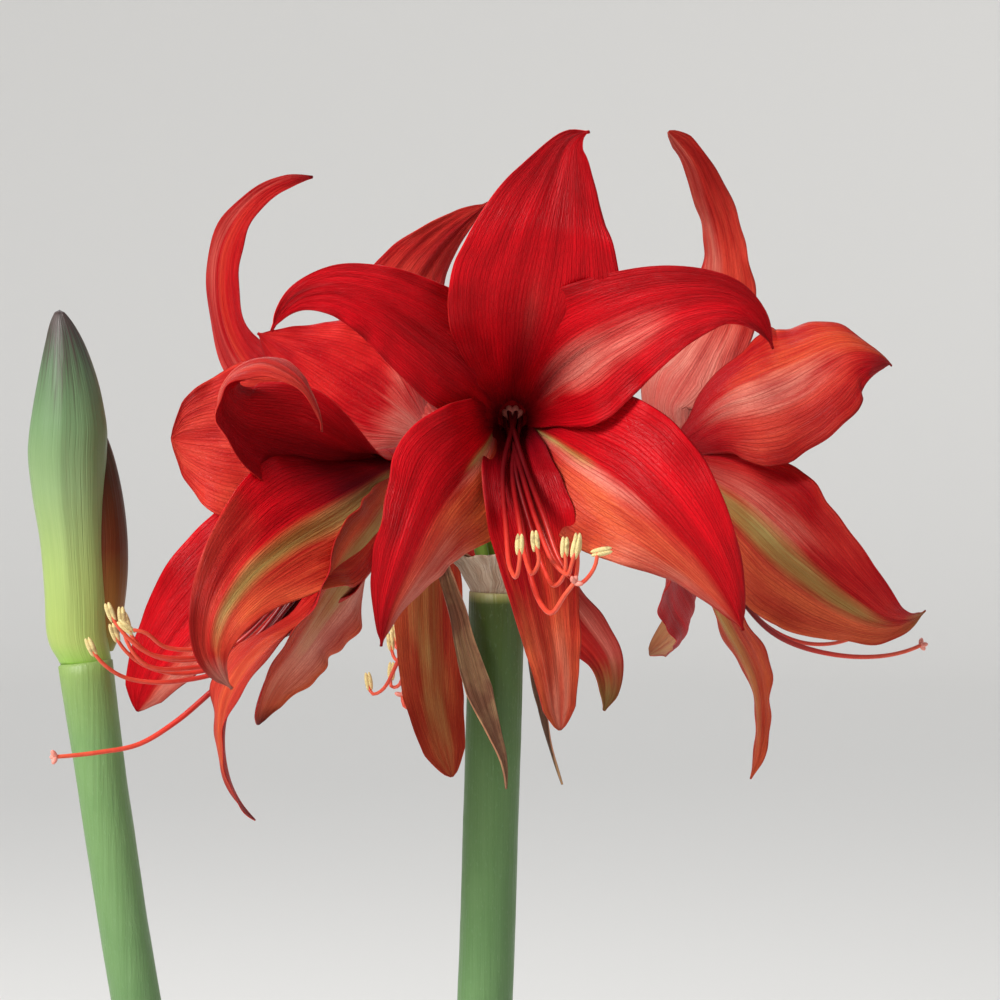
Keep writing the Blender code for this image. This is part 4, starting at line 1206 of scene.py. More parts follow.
    def tube(self) -> Piece:
        """The short tube behind the throat, dressed."""
        back = -self.tube_length
        profile = [(0, back), (self.tube_base, back), (self.tube_base + 2.4, back * 0.55),
                   (self.tube_mouth - 1.2, back * 0.2), (self.tube_mouth - 0.2, 0.0), (self.tube_mouth - 1.8, 0.7),
                   (self.tube_mouth - 3.6, 0.3), (self.tube_mouth - 5.0, -0.3),
                   (self.tube_mouth - 5.6, -0.8), (0, -0.8)]
        radial, axis = clock_radial(self.facing, 0)
        side = np.cross(axis, radial)
        turn = round_angles(48)
        ring = np.cos(turn)[:, None] * radial + np.sin(turn)[:, None] * side
        steps, _ = smooth_path([(r, z, 0) for r, z in profile], 46)
        middle = np.array(self.throat)
        rings = [middle + z * axis + max(r, 0.02) * ring for r, z, _ in steps]
        points, faces = ring_body(rings, [middle + back * axis, middle - 0.8 * axis])
        marks = ring_marks(len(rings), np.cos(turn * 3), 2.0)
        outer = np.clip((0.60 - marks["along"]) / 0.08, 0, 1)
        # Inside the tube the dark tone is painted shade; the part outside takes the tepals' outer colours.
        marks |= {"deep": 0.25 * (1 - outer), "olive": 0.55 * outer, "pale": 0.3 * outer, "salmon": 0.6 * outer,
                  "amber": 0 * outer}
        return PETAL.dress(face_outwards(mesh_piece("tube_" + self.name, points, faces, SCAPE_TOP, marks)))


# In these tables the dark tone near a tepal's base is partly the throat's own dark red and partly painted shade in and
# round the throat; at a tip it is the tepal's own dark colour.
BLOOMS = (
    Bloom("front", (5, -36, 60), (0, -0.97, -0.22), (
        Tepal(0, 55, 0.50, 1.45, (38, 18, 0, 40), (
            (7.8, -60, 82), (11.6, -78, 103), (15, -84, 119), (18.5, -80, 134), (23.5, -76, 148), (29, -78, 151)),
            face=INNER + (Wash(PALE, 0.05, (0.24, 0.50), (-0.05, 0.12), 0.12),)),
        Tepal(60, 46, 0.36, 1.15, (40, 20, 10, 60), (
            (21, -62, 77), (39, -77.5, 89.5), (57, -82, 97), (72, -82, 98), (81, -80, 93), (86.8, -76, 83)), inner=True,
            # The pale band on the inner face is partly its own pinkish tint near the throat and partly a painted sheen
            # highlight.
            face=INNER + (Wash(PALE, 0.50, (0.24, 0.50), (-0.10, 0.42), 0.2),)),
        Tepal(118, 52, 0.44, 1.5, (35, -15, -30, -40), (
            (21.5, -58, 51), (41, -80, 39.5), (56.5, -88, 26), (68.8, -88, 10.5), (77.3, -85, -5)),
            face=(Wash(DEEP, 1.0, (-1, 0.15), (-2, -0.14), 0.14), Wash(DEEP, 0.9, (-1, 0.18), (0.16, 2), 0.14),
                  Wash(SALMON, 0.85, (0.24, 0.92), (0.10, 2), 0.13), Wash(AMBER, 0.35, (0.3, 0.8), (0.2, 2)),
                  Wash(PALE, 0.55, (0.04, 0.60), (0.03, 0.14), 0.08), Wash(PALE, 0.35, (0.6, 0.95), (0.6, 2)),
                  Wash(OLIVE, 0.9, (-0.1, 0.32), (-0.03, 0.05), 0.06))),
        Tepal(180, 29, 0.40, 1.15, (45, 25, 10, 20), (
            (7, -61.5, 41.5), (12, -69.5, 20.5), (15.6, -67, 0), (18.5, -63, -18), (20.2, -59, -39.8)),
            inner=True, blunt=0.3,
            face=(Wash(DEEP, 1.0, (-1, 0.25), soft=0.22), Wash(SALMON, 0.85, (0.66, 2), soft=0.22),
                  Wash(AMBER, 0.45, (0.60, 2), soft=0.22), Wash(PALE, 0.35, (0.82, 2), (-0.6, 0.6), 0.2))),
        Tepal(240, 46, 0.42, 1.35, (35, -15, -30, -40), (
            (-4, -58, 50.5), (-16, -78, 36.5), (-25.3, -88, 19.5), (-33, -88, 2.5), (-36.3, -85, -10)),
            face=(Wash(DEEP, 1.0, (-1, 0.15), (0.14, 2), 0.14), Wash(DEEP, 0.9, (-1, 0.14), (-2, -0.16), 0.14),
                  Wash(SALMON, 0.9, (0.20, 0.9), (-2, -0.10)), Wash(AMBER, 0.85, (0.20, 0.55), (-2, -0.12)),
                  Wash(PALE, 0.35, (0.6, 0.97), (-2, -0.35)), Wash(PALE, 0.45, (0.04, 0.45), (-0.14, -0.03), 0.08),
                  Wash(OLIVE, 0.9, (-0.1, 0.34), (-0.05, 0.03), 0.06))),
        Tepal(300, 37, 0.36, 1.25, (40, 20, 10, 50), (
            (-7.5, -60, 75.5), (-23, -73, 88.5), (-37, -79, 97.5), (-51, -80, 101.5), (-63, -77, 98.5),
            (-70.9, -74, 88.5)), inner=True),
    ), tube_mouth=6.9),
    Bloom("left", (-35, -18, 40), (-0.75, -0.55, -0.36), (
        Tepal(0, 40, 0.28, 1.15, (38, 25, 30, 50), (
            (-51, -30, 47, .1, -.8, -.5), (-69, -40, 52, .2, -.95, .1), (-82, -50, 57, .4, -.7, .5),
            (-88, -55, 66, 1, -.3, .3), (-83, -60, 75, .6, 0, -1), (-73, -66, 79, -.2, .4, -1),
            (-63, -72, 74, -.7, .5, -.8), (-57, -76, 65, -.9, .4, -.3), (-55, -78, 57, -.9, .4, -.2)),
            # The dark wash on one half by the base is painted shadow in the hollow under the rolled-over tip.
            face=INNER + (Wash(DEEP, 0.55, (-1, 0.42), (-2, 0.1), 0.2),),
            back=(Wash(SALMON, 0.42), Wash(PALE, 0.12, (0.5, 2), (-0.5, 0.3)))),
        Tepal(300, 54, 0.58, 2.2, (38, 20, 10, 10), (
            (-54, -9, 46, .1, -.75, -.6), (-72, -7, 49, .2, -.95, -.1), (-90, -5, 50, .1, -1, .1),
            (-100, -3, 50.5, 0, -1, .1), (-108.5, -1, 50.5, -.1, -1, .1)), inner=True, wave=4.2, blunt=0.25,
            face=INNER + (Wash(SALMON, 0.35, (0.4, 2)),)),
        Tepal(240, 44, 0.42, 1.7, (35, 0, -20, -20), (
            (-56, -10, 27), (-82, -6, 9), (-101, -4, -8), (-115, -2, -27), (-120.5, 2, -41)), blunt=0.2,
            face=INNER + (Wash(SALMON, 0.7, (0.45, 1.0), (-2, -0.4)), Wash(PALE, 0.4, (0.7, 1.1), (-2, -0.5)))),
        Tepal(60, 50, 0.36, 1.35, (35, -10, -35, -45), (
            (-50.5, -44, 31.5), (-68.5, -64, 22), (-81.5, -76, 10), (-88.5, -82, -3), (-89.5, -82, -13.5),
            (-83.6, -78, -24.2)), inner=True,
            # On the outer face the dark wash on one half near the base is painted shade by the throat.
            back=(Wash(DEEP, 0.85, (-1, 0.30), (-2, 0.02)), Wash(OLIVE, 0.95, (0.02, 0.80), (-0.02, 0.26), 0.11),
                  Wash(SALMON, 0.60, (0.3, 0.95), (0.2, 2)), Wash(AMBER, 0.40, (0.3, 0.92), (0.22, 2), 0.2),
                  Wash(SALMON, 0.4, (0.6, 1), (-2, -0.1)), Wash(PALE, 0.85, (0.93, 2), soft=0.05))),
        Tepal(180, 23, 0.55, 2.0, (45, 25, 10, 20), (
            (-44.5, -30, 8), (-60, -45, -5.5), (-74, -55, -12.5), (-85.5, -58, -27), (-88.6, -55, -42),
            (-86.3, -48, -59), (-78.8, -40, -71.5)), inner=True, blunt=0.25,
            face=INNER + (Wash(SALMON, 0.7, (0.4, 2)), Wash(AMBER, 0.4, (0.5, 2), (-0.4, 0.4)))),
        Tepal(118, 45, 0.42, 1.7, (35, -10, -30, -40), (
            (-39, -37, 21), (-51, -50, 4), (-62.5, -58, -12), (-72.5, -58, -26), (-76.5, -54, -38.5)), blunt=0.22,
            # On the outer face the dark strip along one edge is painted shadow cast by the neighbouring tepal; the dark
            # tip is its own.
            back=(Wash(SALMON, 0.7), Wash(AMBER, 0.35), Wash(OLIVE, 0.75, (-1, 0.62), (-0.5, 0.25), 0.16),
                  Wash(PALE, 0.72, (-1, 0.78), (-0.30, 0.8), 0.2), Wash(DEEP, 0.4, (-1, 1), (-2, -0.80)),
                  Wash(DEEP, 0.9, (0.97, 2), soft=0.05))),
    )),
    Bloom("right", (57, 12, 46), (0.86, 0.35, -0.32), (
        Tepal(0, 46, 0.17, 0.44, (38, 22, 24, 34), (
            (58, 16, 60), (67.5, 21, 76, .45, .85, -.2), (75.5, 22, 91, .55, .8, 0), (76.8, 20, 105, .5, .85, 0),
            (75, 18, 119, .5, .85, .1), (71, 14, 131, .4, .85, .2), (65, 9, 144, .3, .85, .3),
            (57, 6, 152.6, .3, .85, .3)), blunt=0.16, wave=1.3,
            back=(Wash(SALMON, 0.42), Wash(PALE, 0.70, (-1, 0.30), soft=0.14), Wash(DEEP, 0.4, (-1, 0.12)),
                  Wash(PALE, 0.30, (0.4, 2), (0.1, 0.9)))),
        Tepal(300, 50, 0.45, 2.0, (38, 20, 20, 60), ((74.3, 0.5, 60.2), (97, -10, 69.5), (117, -10, 80), (131, -2, 75)),
              inner=True, back=(Wash(SALMON, 0.08), Wash(SALMON, 0.4, (0.2, 0.8), (-2, 0.0)),
                                Wash(PALE, 0.60, (0.26, 0.62), (-0.20, 0.14), 0.2), Wash(AMBER, 0.25, (0.3, 2), (0, 2)),
                                Wash(DEEP, 0.65, (-1, 0.18), soft=0.2))),
        Tepal(240, 50, 0.42, 1.4, (35, -10, -30, -40), (
            (78, 2, 30), (97, -6, 13), (115.5, -8, -2), (131, 0, -10.5), (144, 10, -8)),
            back=(Wash(SALMON, 0.12), Wash(OLIVE, 0.95, (0.14, 0.80), (-0.26, 0.08), 0.12),
                  Wash(SALMON, 0.9, (0.1, 0.95), (-2, -0.25)), Wash(AMBER, 0.4, (0.2, 0.95), (-2, -0.3)),
                  Wash(PALE, 0.3, (0.12, 0.42), (0.1, 0.5), 0.2), Wash(DEEP, 0.6, (-1, 0.08)),
                  Wash(OLIVE, 0.6, (0.94, 2), soft=0.06))),
        Tepal(180, 26, 0.48, 1.6, (45, 25, 10, 20), (
            (64, 18, 15), (77, 22, -11), (88, 26, -33), (90, 24, -50), (86, 18, -66)), inner=True, blunt=0.12,
            back=(Wash(SALMON, 0.9), Wash(AMBER, 0.45), Wash(OLIVE, 0.7, (-1, 0.75), (-0.5, 0.3), 0.25))),
        Tepal(118, 38, 0.33, 1.3, (35, 0, -20, -30), (
            (60, 36, 14), (63, 56, -5), (68, 70, -17), (62, 82, -25), (54, 84, -31)), blunt=0.45,
            back=OUTER + (Wash(OLIVE, 0.5, (0.75, 2)), Wash(PALE, 0.5, (0.75, 2)))),
        Tepal(60, 44, 0.35, 1.2, (38, 20, 20, 40), (
            (76, 40, 56), (97, 62, 66), (115, 80, 69), (125, 92, 61)), inner=True),
    )),
    Bloom("back", (-20, 38, 48), (-0.45, 0.86, -0.22), (
        Tepal(0, 34, 0.40, 1.4, (38, 18, 0, 30), (
            (-25.5, 46, 60.5), (-35, 54, 78), (-32.5, 62, 97), (-21, 68, 114.5), (-3, 72, 129)),
            face=(Wash(DEEP, 0.6, (-1, 0.1)), Wash(SALMON, 0.35, (0.3, 2))),
            back=(Wash(SALMON, 0.25), Wash(PALE, 0.3, (-1, 0.3)))),
        Tepal(60, 50, 0.40, 1.6, (38, 20, 10, 30), (
            (-34.5, 40, 56.5), (-52.5, 44, 68), (-69.5, 48, 77), (-82.6, 54, 84)), inner=True,
            back=(Wash(SALMON, 0.06), Wash(PALE, 0.5, (-1, 0.20), soft=0.2), Wash(DEEP, 0.35, (-1, 0.16)))),
        Tepal(110, 29, 0.35, 1.3, (35, 0, -10, -20), (
            (-43, 62, 59), (-67, 82, 62), (-87, 94, 71), (-96, 98, 88), (-96.3, 98, 112), (-84, 92, 130.5),
            (-64.8, 84, 138)), blunt=0.12, back=(Wash(SALMON, 0.10), Wash(OLIVE, 0.05, (0.2, 0.8), (-0.12, 0.12)),
                                                 Wash(PALE, 0.25, (0.35, 0.9), (0.3, 0.9)),
                                                 Wash(DEEP, 0.7, (0.97, 2), soft=0.05))),
        Tepal(170, 25, 0.42, 2.0, (40, 10, -10, -20), (
            (-23.5, 46, 18.5), (-24, 54, -9.5), (-22.8, 54, -37), (-20, 50, -54), (-15.6, 46, -69.2)), inner=True,
            blunt=0.5, back=(Wash(SALMON, 0.75), Wash(AMBER, 0.4), Wash(OLIVE, 0.55, (-1, 0.85), (-0.40, 0.40), 0.3))),
        Tepal(235, 30, 0.42, 1.8, (35, 0, -20, -30), (
            (-6, 66, 20), (12.5, 78, -3), (27.5, 80, -20), (38, 72, -34), (37.3, 62, -48)), blunt=0.1,
            back=(Wash(SALMON, 0.22), Wash(PALE, 0.3, (0.5, 1), (0.3, 2)), Wash(OLIVE, 0.8, (0.9, 2), soft=0.08))),
        Tepal(300, 44, 0.35, 1.2, (38, 20, 10, 40), ((-2, 70, 62), (15, 92, 72), (37, 108, 76), (54, 118, 69)),
              inner=True),
    )),
)

# Filaments outside the throat; the last one of each bloom is the style.
THREADS: dict[str, tuple[tuple[Point, ...], ...]] = {
    "front": (
        ((2, -63, 44), (3, -82, 26), (4, -92, 16), (6, -99, 13), (7, -102, 18), (7, -102, 22)),
        ((5, -62, 44), (7, -81, 29), (9, -91, 18), (11, -98, 14), (13, -101, 18), (12, -101, 23)),
        ((6, -62, 44), (11, -79, 26), (15, -88, 14), (18, -95, 10), (21, -99, 14), (21, -100, 21)),
        ((7.5, -63, 44.5), (12.5, -83, 29), (17.5, -95, 17.5), (22, -101, 14), (23, -104, 17), (24, -104, 21)),
        ((8, -62, 44), (14, -80, 28), (19, -87, 16), (24, -92, 12), (25, -96, 15), (25, -97, 22)),
        ((9, -62, 45), (15, -82, 30), (20, -92, 17), (25.5, -99, 11), (30, -103, 16), (31, -103, 21)),
        ((6, -62, 40), (9, -79, 23), (11, -88, 11), (14, -96, 4), (17, -101, 2), (21, -105, 8), (24, -106, 12)),
    ),
    "left": (
        ((-46, -27, 30), (-63, -34, 8), (-81, -37, -14), (-96, -41, -18), (-111, -46, -17), (-119, -49, -11),
         (-124, -50, -4)),
        ((-46, -25, 27), (-63, -31, 4), (-83, -34, -18), (-100, -38, -22), (-113, -42, -21), (-119, -45, -14),
         (-121, -45, -6)),
        ((-46, -23, 25), (-64, -28, 3), (-84, -30, -21), (-104, -32, -27), (-119, -36, -26), (-126, -40, -22),
         (-131, -42, -16)),
        ((-46, -26, 32), (-64, -32, 11), (-82, -37, -10), (-96, -44, -15), (-107, -49, -14), (-113, -53, -9),
         (-118, -54, -8)),
        ((-46, -21, 26), (-65, -24, 2), (-85, -25, -20), (-102, -27, -25), (-113, -30, -23), (-120, -34, -18),
         (-124, -36, -12)),
        ((-46, -22, 30), (-65, -23, 6), (-86, -21, -16), (-99, -22, -21), (-111, -25, -20), (-117, -28, -16),
         (-121, -29, -9)),
        ((-46, -25, 23), (-64, -30, 0), (-81, -34, -20), (-92, -38, -29), (-104, -42, -39), (-116, -46, -46),
         (-128, -50, -48), (-142, -54, -49)),
    ),
    "right": (
        ((74, 30, 13), (85, 40, -4), (96, 48, -15), (107, 54, -20), (116, 60, -20), (123, 64, -18)),
        ((73, 34, 11), (84, 46, -7), (94, 55, -18), (106, 62, -24), (118, 68, -25), (128, 72, -22)),
        ((73, 38, 12), (83, 52, -5), (93, 62, -15), (104, 70, -20), (114, 76, -20), (122, 80, -17)),
        ((75, 42, 13), (86, 58, -3), (96, 69, -13), (107, 78, -17), (117, 84, -16), (124, 88, -12)),
        ((74, 46, 12), (85, 62, -5), (97, 74, -15), (109, 84, -19), (120, 92, -18), (128, 96, -15)),
        ((75, 34, 15), (87, 46, -1), (98, 56, -10), (110, 63, -15), (122, 70, -15), (130, 74, -12)),
        ((73, 28, 10), (84, 36, -7), (94, 42, -18), (105, 47, -24), (122, 53, -28), (137, 58, -28), (148, 62, -25)),
    ),
    "back": (
        ((-24, 62, 5), (-27, 74, -10), (-31, 86, -26), (-35, 94, -34), (-37, 98, -33), (-38, 99, -29)),
        ((-23, 64, 3), (-27, 77, -14), (-32, 89, -31), (-35, 97, -43), (-38, 101, -44), (-38, 102, -40)),
        ((-24, 66, 2), (-29, 80, -16), (-35, 92, -33), (-41, 100, -45), (-45, 104, -47), (-46, 105, -44)),
        ((-23, 68, 4), (-24, 82, -13), (-25, 94, -30), (-26, 102, -41), (-28, 106, -41), (-29, 107, -37)),
        ((-22, 66, 6), (-21, 79, -11), (-20, 90, -26), (-19, 97, -35), (-18, 101, -34), (-18, 102, -30)),
        ((-24, 70, 7), (-26, 84, -10), (-30, 95, -23), (-33, 103, -31), (-36, 107, -31), (-37, 108, -27)),
        ((-23, 60, 1), (-26, 74, -19), (-27, 86, -38), (-30, 94, -50), (-33, 98, -51), (-34, 100, -47)),
    ),
}


@dataclass(frozen=True)
class Stamens:
    """Six filaments with anthers, and a style with a three-lobed stigma, of one bloom."""

    bloom: Bloom
    filament_radius: float = 0.85
    anther_width: float = 0.85
    anther_length: float = 3.4
    anther_gap: float = 1.15
    foot_ring: float = 2.6
    stigma_turn: float = 2.094
    rows: int = 64
    sides: int = 10

    def build(self, bars: GrowthTree, lobes: GrowthTree) -> list[Piece]:
        """Makes the threads, the anthers and the stigma.

        Args:
            bars: The tree that makes lines round.
            lobes: The tree that sets lobes on points.

        Returns:
            The dressed pieces; the first stands for the CAD node.
        """
        name = self.bloom.name
        axis = unit(self.bloom.facing)
        throat = np.array(self.bloom.throat, float)
        foot = throat - axis * (self.bloom.tube_length * 0.5 - 0.5)
        lines, tips, leans, lobe_spots, lobe_leans = [], [], [], [], []
        for k, points in enumerate(THREADS[name]):
            style = k == len(THREADS[name]) - 1
            radial, _ = clock_radial(self.bloom.facing, 30 + 60 * k)
            ring = 0.0 if style else self.foot_ring
            start = [foot + radial * ring, foot + axis * 5 + radial * ring,
                     throat + axis * 2 + radial * (ring * 0.9) + (np.array(points[0]) - throat) * 0.12]
            path, _ = smooth_path([*start, *points], self.rows)
            radius = self.filament_radius * (1.12 if style else 1.0)
            taper = np.interp(np.linspace(0, 1, self.rows), [0, 0.7, 1], [radius, radius, radius * 0.7])
            lines.append((path, taper))
            tip = np.array(points[-1], float)
            end = unit(tip - np.array(points[-2], float))
            if style:
                first = unit(np.cross(end, (0.3, 0.2, 1)))
                for turn in range(3):
                    angle = turn * self.stigma_turn
                    way = math.cos(angle) * first + math.sin(angle) * np.cross(end, first)
                    lobe_spots.append(tip + way * 1.1 + end * 0.5)
                    lobe_leans.append(way + 0.6 * end)
            else:
                lean = np.array((1, 0, 0.2)) if (name == "front" and k == 5) else end + np.array([0.05, 0, 0.6])
                tips.append(tip + unit(lean) * 1.4)
                leans.append(unit(lean))
        threads = bars.grow(lines_piece("filaments_" + name, lines, SCAPE_TOP), FILAMENT, Sides=self.sides)
        anthers = leaning_spots("anthers_" + name, tips, leans)
        lobes.grow(anthers, POLLEN, Lobes=2, Gap=self.anther_gap * MM, Width=self.anther_width * MM,
                   Length=self.anther_length * MM)
        stigma = leaning_spots("stigma_" + name, lobe_spots, lobe_leans)
        lobes.grow(stigma, STIGMA, Lobes=1, Width=0.9 * MM, Length=1.7 * MM)
        return [threads, anthers, stigma]


@dataclass(frozen=True)
class Stalks:
    """The green flower stalks and their ovaries, on the top of the main scape."""

    stalk_radius: float = 2.3
    ovary_radius: float = 4.6
    end_radius: float = 2.9
    rows: int = 90
    paths: dict[str, tuple[Point, ...]] = field(default_factory=lambda: {
        "front": ((1.6, -4.4, 0.5), (1.8, -4.2, 10), (3, -2, 26), (5, 1, 50), (5, 0, 64)),
        "right": ((4.4, 1.2, 0.5), (4.6, 1.3, 10), (9, 2, 26), (18, 1, 46)),
        "left": ((-4.4, -1, 0.5), (-4.6, -1, 10), (-8, -1, 24), (-10, 0.5, 43)),
        "back": ((-1.4, 4.4, 0.5), (-1.5, 4.5, 10), (-2.4, 6, 26), (-4, 8, 45)),
    })

    def build(self, bars: GrowthTree) -> Piece:
        """Stalks and ovaries as bars of changing radius.

        Args:
            bars: The tree that makes lines round.

        Returns:
            The dressed piece.
        """
        lines = [(np.array([(0, 0, 0.45), (0, 0, 1.2), (0, 0, 2.2), (0, 0, 2.9)]), np.array([6.7, 6.9, 6.3, 4.0]))]
        for bloom in BLOOMS:
            axis = unit(bloom.facing)
            base = np.array(bloom.throat, float) - axis * (bloom.tube_length + 0.2)
            bend = base - axis * 15 + np.array([0, 0, 1.5])
            path, at = smooth_path([*self.paths[bloom.name], bend, base - axis * 9, base], self.rows)
            share = np.linspace(0, 1, self.rows)
            last = (share - at[-3]) / (1 - at[-3])
            radii = self.stalk_radius + (self.ovary_radius - self.stalk_radius) * soft_box(last, 0.42, 0.86, 0.22)
            radii[-4:] = np.linspace(radii[-5], self.end_radius, 5)[1:]
            lines.append((path, radii))
        return bars.grow(lines_piece("stalks_and_ovaries", lines, SCAPE_TOP), STALK_GREEN, Sides=28, Relief=0.25 * MM,
                         Waves=220.0)


@dataclass(frozen=True)
class Spathe:
    """The papery collar round the stalks, and the two dried bracts that hang from it."""

    thickness: float = 0.6
    collar_radius: float = 8.1
    collar_wall: float = 0.7
    collar_height: float = 6.5
    collar_flare: float = 8.0
    strips: tuple[tuple[float, tuple[float, ...], tuple[Point, ...]], ...] = (
        (8.8, (0.7, 0.62, 0.60, 0.72, 0.92, 1.0, 0.70, 0.42, 0.06), (
            (-8.5, -4.5, 8, .4, .3, 1), (-13, -8, 12, 0, 0, 1), (-17, -10.8, 10.5, -.7, -.5, .4),
            (-15.6, -13, 2.5, -.3, -1, .2), (-12.8, -14.3, -6, -.2, -1, .2), (-10.6, -15.5, -15, -.4, -1, 0),
            (-7.8, -16, -25, -.2, -1, 0), (-5, -15.5, -35, .2, -1, 0), (-1.3, -15, -46, .6, -1, 0),
            (1.7, -14.5, -55, .9, -.8, 0), (3, -14, -65, 1, -.5, 0))),
        (6.5, (0.6, 0.7, 0.8, 0.9, 0.95, 0.85, 0.66, 0.42, 0.06), (
            (6, 5.5, 3, -.3, -.3, 1), (11, 10, 6, 0, 0, 1), (12.5, 13.5, 0, .8, .6, .3), (12, 14, -16, .4, 1, 0),
            (13, 14, -32, .8, .8, 0), (15.5, 13, -46, 1, .3, 0), (22, 11, -67, 1, -.3, 0))),
    )

    def bracts(self) -> Piece:
        """The two hanging bracts, dressed."""
        sheets = Sheets()
        rows, columns = 121, 15
        for lot, (width, taper, midrib) in enumerate(self.strips):
            path, at = smooth_path([p[:3] for p in midrib], rows)
            normals, sides = turned_frames(path, at[1:], midrib[1:], np.array(midrib[0][3:], float), 0.02)
            share = np.linspace(0, 1, rows)
            half = width / 2 * np.interp(share, np.linspace(0, 1, len(taper)), taper)
            s = np.linspace(-1, 1, columns)[None, :]
            turns = 2 * np.pi * share[:, None]
            crinkle = 0.16 * np.sin(5 * turns + 3 * s + lot) * np.abs(s) + 0.30 * np.cos(8 * s + 1.2 * np.sin(turns))
            lift = 0.38 * half[:, None] * np.abs(s) ** 2.2 + crinkle * (half[:, None] / (width / 2))
            surface = swept(path, sides, normals, s * half[:, None], lift)
            along, across = np.broadcast_arrays(share[:, None], s)
            marks = {"along": along, "across": across, "lot": np.full(along.shape, 2.0 + lot)}
            sheets.add(surface, np.full(along.shape, self.thickness), marks, marks)
        return BRACT.dress(face_outwards(sheets.piece("bracts", SCAPE_TOP)))

    def collar(self) -> Piece:
        """The torn papery collar, dressed."""
        sides = 160
        turn = round_angles(sides)
        tear = 1.2 * np.sin(3 * turn + 0.6) + 0.7 * np.sin(7 * turn) + 0.4 * np.sin(13 * turn + 2)
        high = 0.5 + 0.5 * np.cos(turn - 3.9)
        steps = np.linspace(0, 1, 14)
        inside = [(v, 0.0) for v in steps[::-1][1:]]
        rings = []
        for v, wall in [(v, self.collar_wall) for v in steps] + inside:
            pleats = (0.22 * np.sin(9 * turn + 2 * v) + 0.07 * np.sin(31 * turn)) * v
            belly = math.sin(math.pi * min(1.0, 1.3 * v))
            reach = self.collar_radius + wall + belly + (self.collar_flare * v ** 1.8 * high) + pleats
            height = -0.5 + v * (self.collar_height + self.collar_height * high + tear)
            rings.append(level_ring(reach, height, turn))
        points = np.concatenate(rings)
        faces = grid_faces(len(rings), sides, closed=True)
        last = (len(rings) - 1) * sides
        faces += [(last + j, last + (j + 1) % sides, (j + 1) % sides, j) for j in range(sides)]
        share = np.repeat(np.linspace(0, 1, len(rings)), sides)
        wide = np.tile(np.abs(turn / np.pi - 1), len(rings))
        marks = {"along": share, "across": wide, "lot": np.zeros(len(points))}
        return COLLAR.dress(face_outwards(mesh_piece("spathe_collar", points, faces, SCAPE_TOP, marks)))


# ---- scapes and bud ---------------------------------------------------------
@dataclass(frozen=True)
class Scape:
    """A leafless stem: a line, with the radius at even steps along it."""

    name: str
    node: str
    finish: Finish
    points: tuple[Point, ...]
    radii: tuple[float, ...]

    def build(self, bars: GrowthTree) -> Piece:
        """The dressed stem.

        Args:
            bars: The tree that makes lines round.

        Returns:
            The piece.
        """
        rows = 150
        path, _ = smooth_path(self.points, rows)
        radii = np.interp(np.linspace(0, 1, rows), np.linspace(0, 1, len(self.radii)), self.radii)
        radii[0] *= 0.9
        radii[-1] *= 0.88
        path[-2] = path[-1] + (path[-2] - path[-1]) * 0.3
        piece = lines_piece(self.name, [(path, radii)], ORIGIN)
        return bars.grow(piece, self.finish, Sides=64, Relief=0.5 * MM, Waves=38.0)


SCAPES = (
    Scape("scape", "scape_main", SCAPE_GREEN_UMBEL_SHADOW,
          ((18, 0, 150), (20, 0, 190), (24, 0, 270), (28, 0, 350), (31, 0, 430), (34, 0, 538)), (9.3, 9.3, 9.3)),
    Scape("bud_scape", "scape_bud", BUD_GREEN,
          ((-9, 0, 150), (-18, 0, 172), (-42, 1, 230), (-62.5, 2, 290), (-78, 3, 350), (-88, 4, 401),
           (-97, 5, 460), (-104.2, 6, 513.4)), (9.0, 8.7, 8.4, 8.4, 8.4, 8.4, 8.3, 8.3, 8.4, 9.2)),
)


@dataclass(frozen=True)
class Bud:
    """The closed bud: a green valve in front and a brown one behind it."""

    depth: float = 0.80
    front_y: float = 6.0
    back_y: float = 10.5
    front: tuple[Point, ...] = (
        (512.6, -104.2, 8.5), (514.4, -104.6, 9.0), (518, -106.0, 9.8), (523, -107.0, 10.2), (536, -107.3, 10.6),
        (554, -108.2, 11.2), (569, -109.4, 12.4), (583, -110, 13.2), (591, -109.6, 13), (598, -109.5, 12),
        (608, -109.6, 10), (620, -110.4, 6.6), (627, -111.4, 3.8), (630.5, -112, 1.6))
    back: tuple[Point, ...] = (
        (516.5, -102.0, 6.8), (523, -101.5, 8.6), (534, -101.2, 10.0), (545, -101.2, 10.9), (558, -101.6, 11.0),
        (572, -102.6, 10.2), (585, -104.0, 8.4), (594, -105.4, 6.0))

    def valve(self, name: str, table: tuple[Point, ...], y: float, finish: Finish) -> Piece:
        """One valve as flattened rings with a faint keel and lengthwise folds.

        Args:
            name: The piece's name.
            table: Height, middle in x, and half-width at each station.
            y: Middle in y.
            finish: Its finish.

        Returns:
            The dressed piece.
        """
        rows, turn = 110, round_angles(72)
        steps, _ = smooth_path(table, rows)
        rings = []
        for k, (height, middle, half) in enumerate(steps):
            share = k / (rows - 1)
            end = min(1.0, 4 * share, 9 * (1 - share) + 0.25)
            folds = 1 + 0.010 * end * np.sin(7 * turn + 2 * share) + 0.014 * end * np.cos(3 * turn - 1.5 * share)
            keel = 0.045 * end * np.exp(-((turn - 4.45 - 0.3 * share) / 0.16) ** 2)
            radius = half * (folds + keel)
            rings.append(np.stack([middle + radius * np.cos(turn), y + self.depth * radius * np.sin(turn),
                                   np.full(len(turn), height)], axis=1))
        points, faces = ring_body(rings, [rings[0].mean(0), rings[-1].mean(0) + (0, 0, 0.8)])
        marks = ring_marks(rows, np.abs(turn / np.pi - 1))
        return finish.dress(face_outwards(mesh_piece(name, points, faces, ORIGIN, marks)))

    def build(self) -> list[tuple[Piece, str]]:
        """Both valves, each with the CAD node it stands for."""
        return [(self.valve("bud_valve_front", self.front, self.front_y, FRONT_BUD), "bud_front_valve"),
                (self.valve("bud_valve_back", self.back, self.back_y, BACK_BUD), "bud_back_valve")]


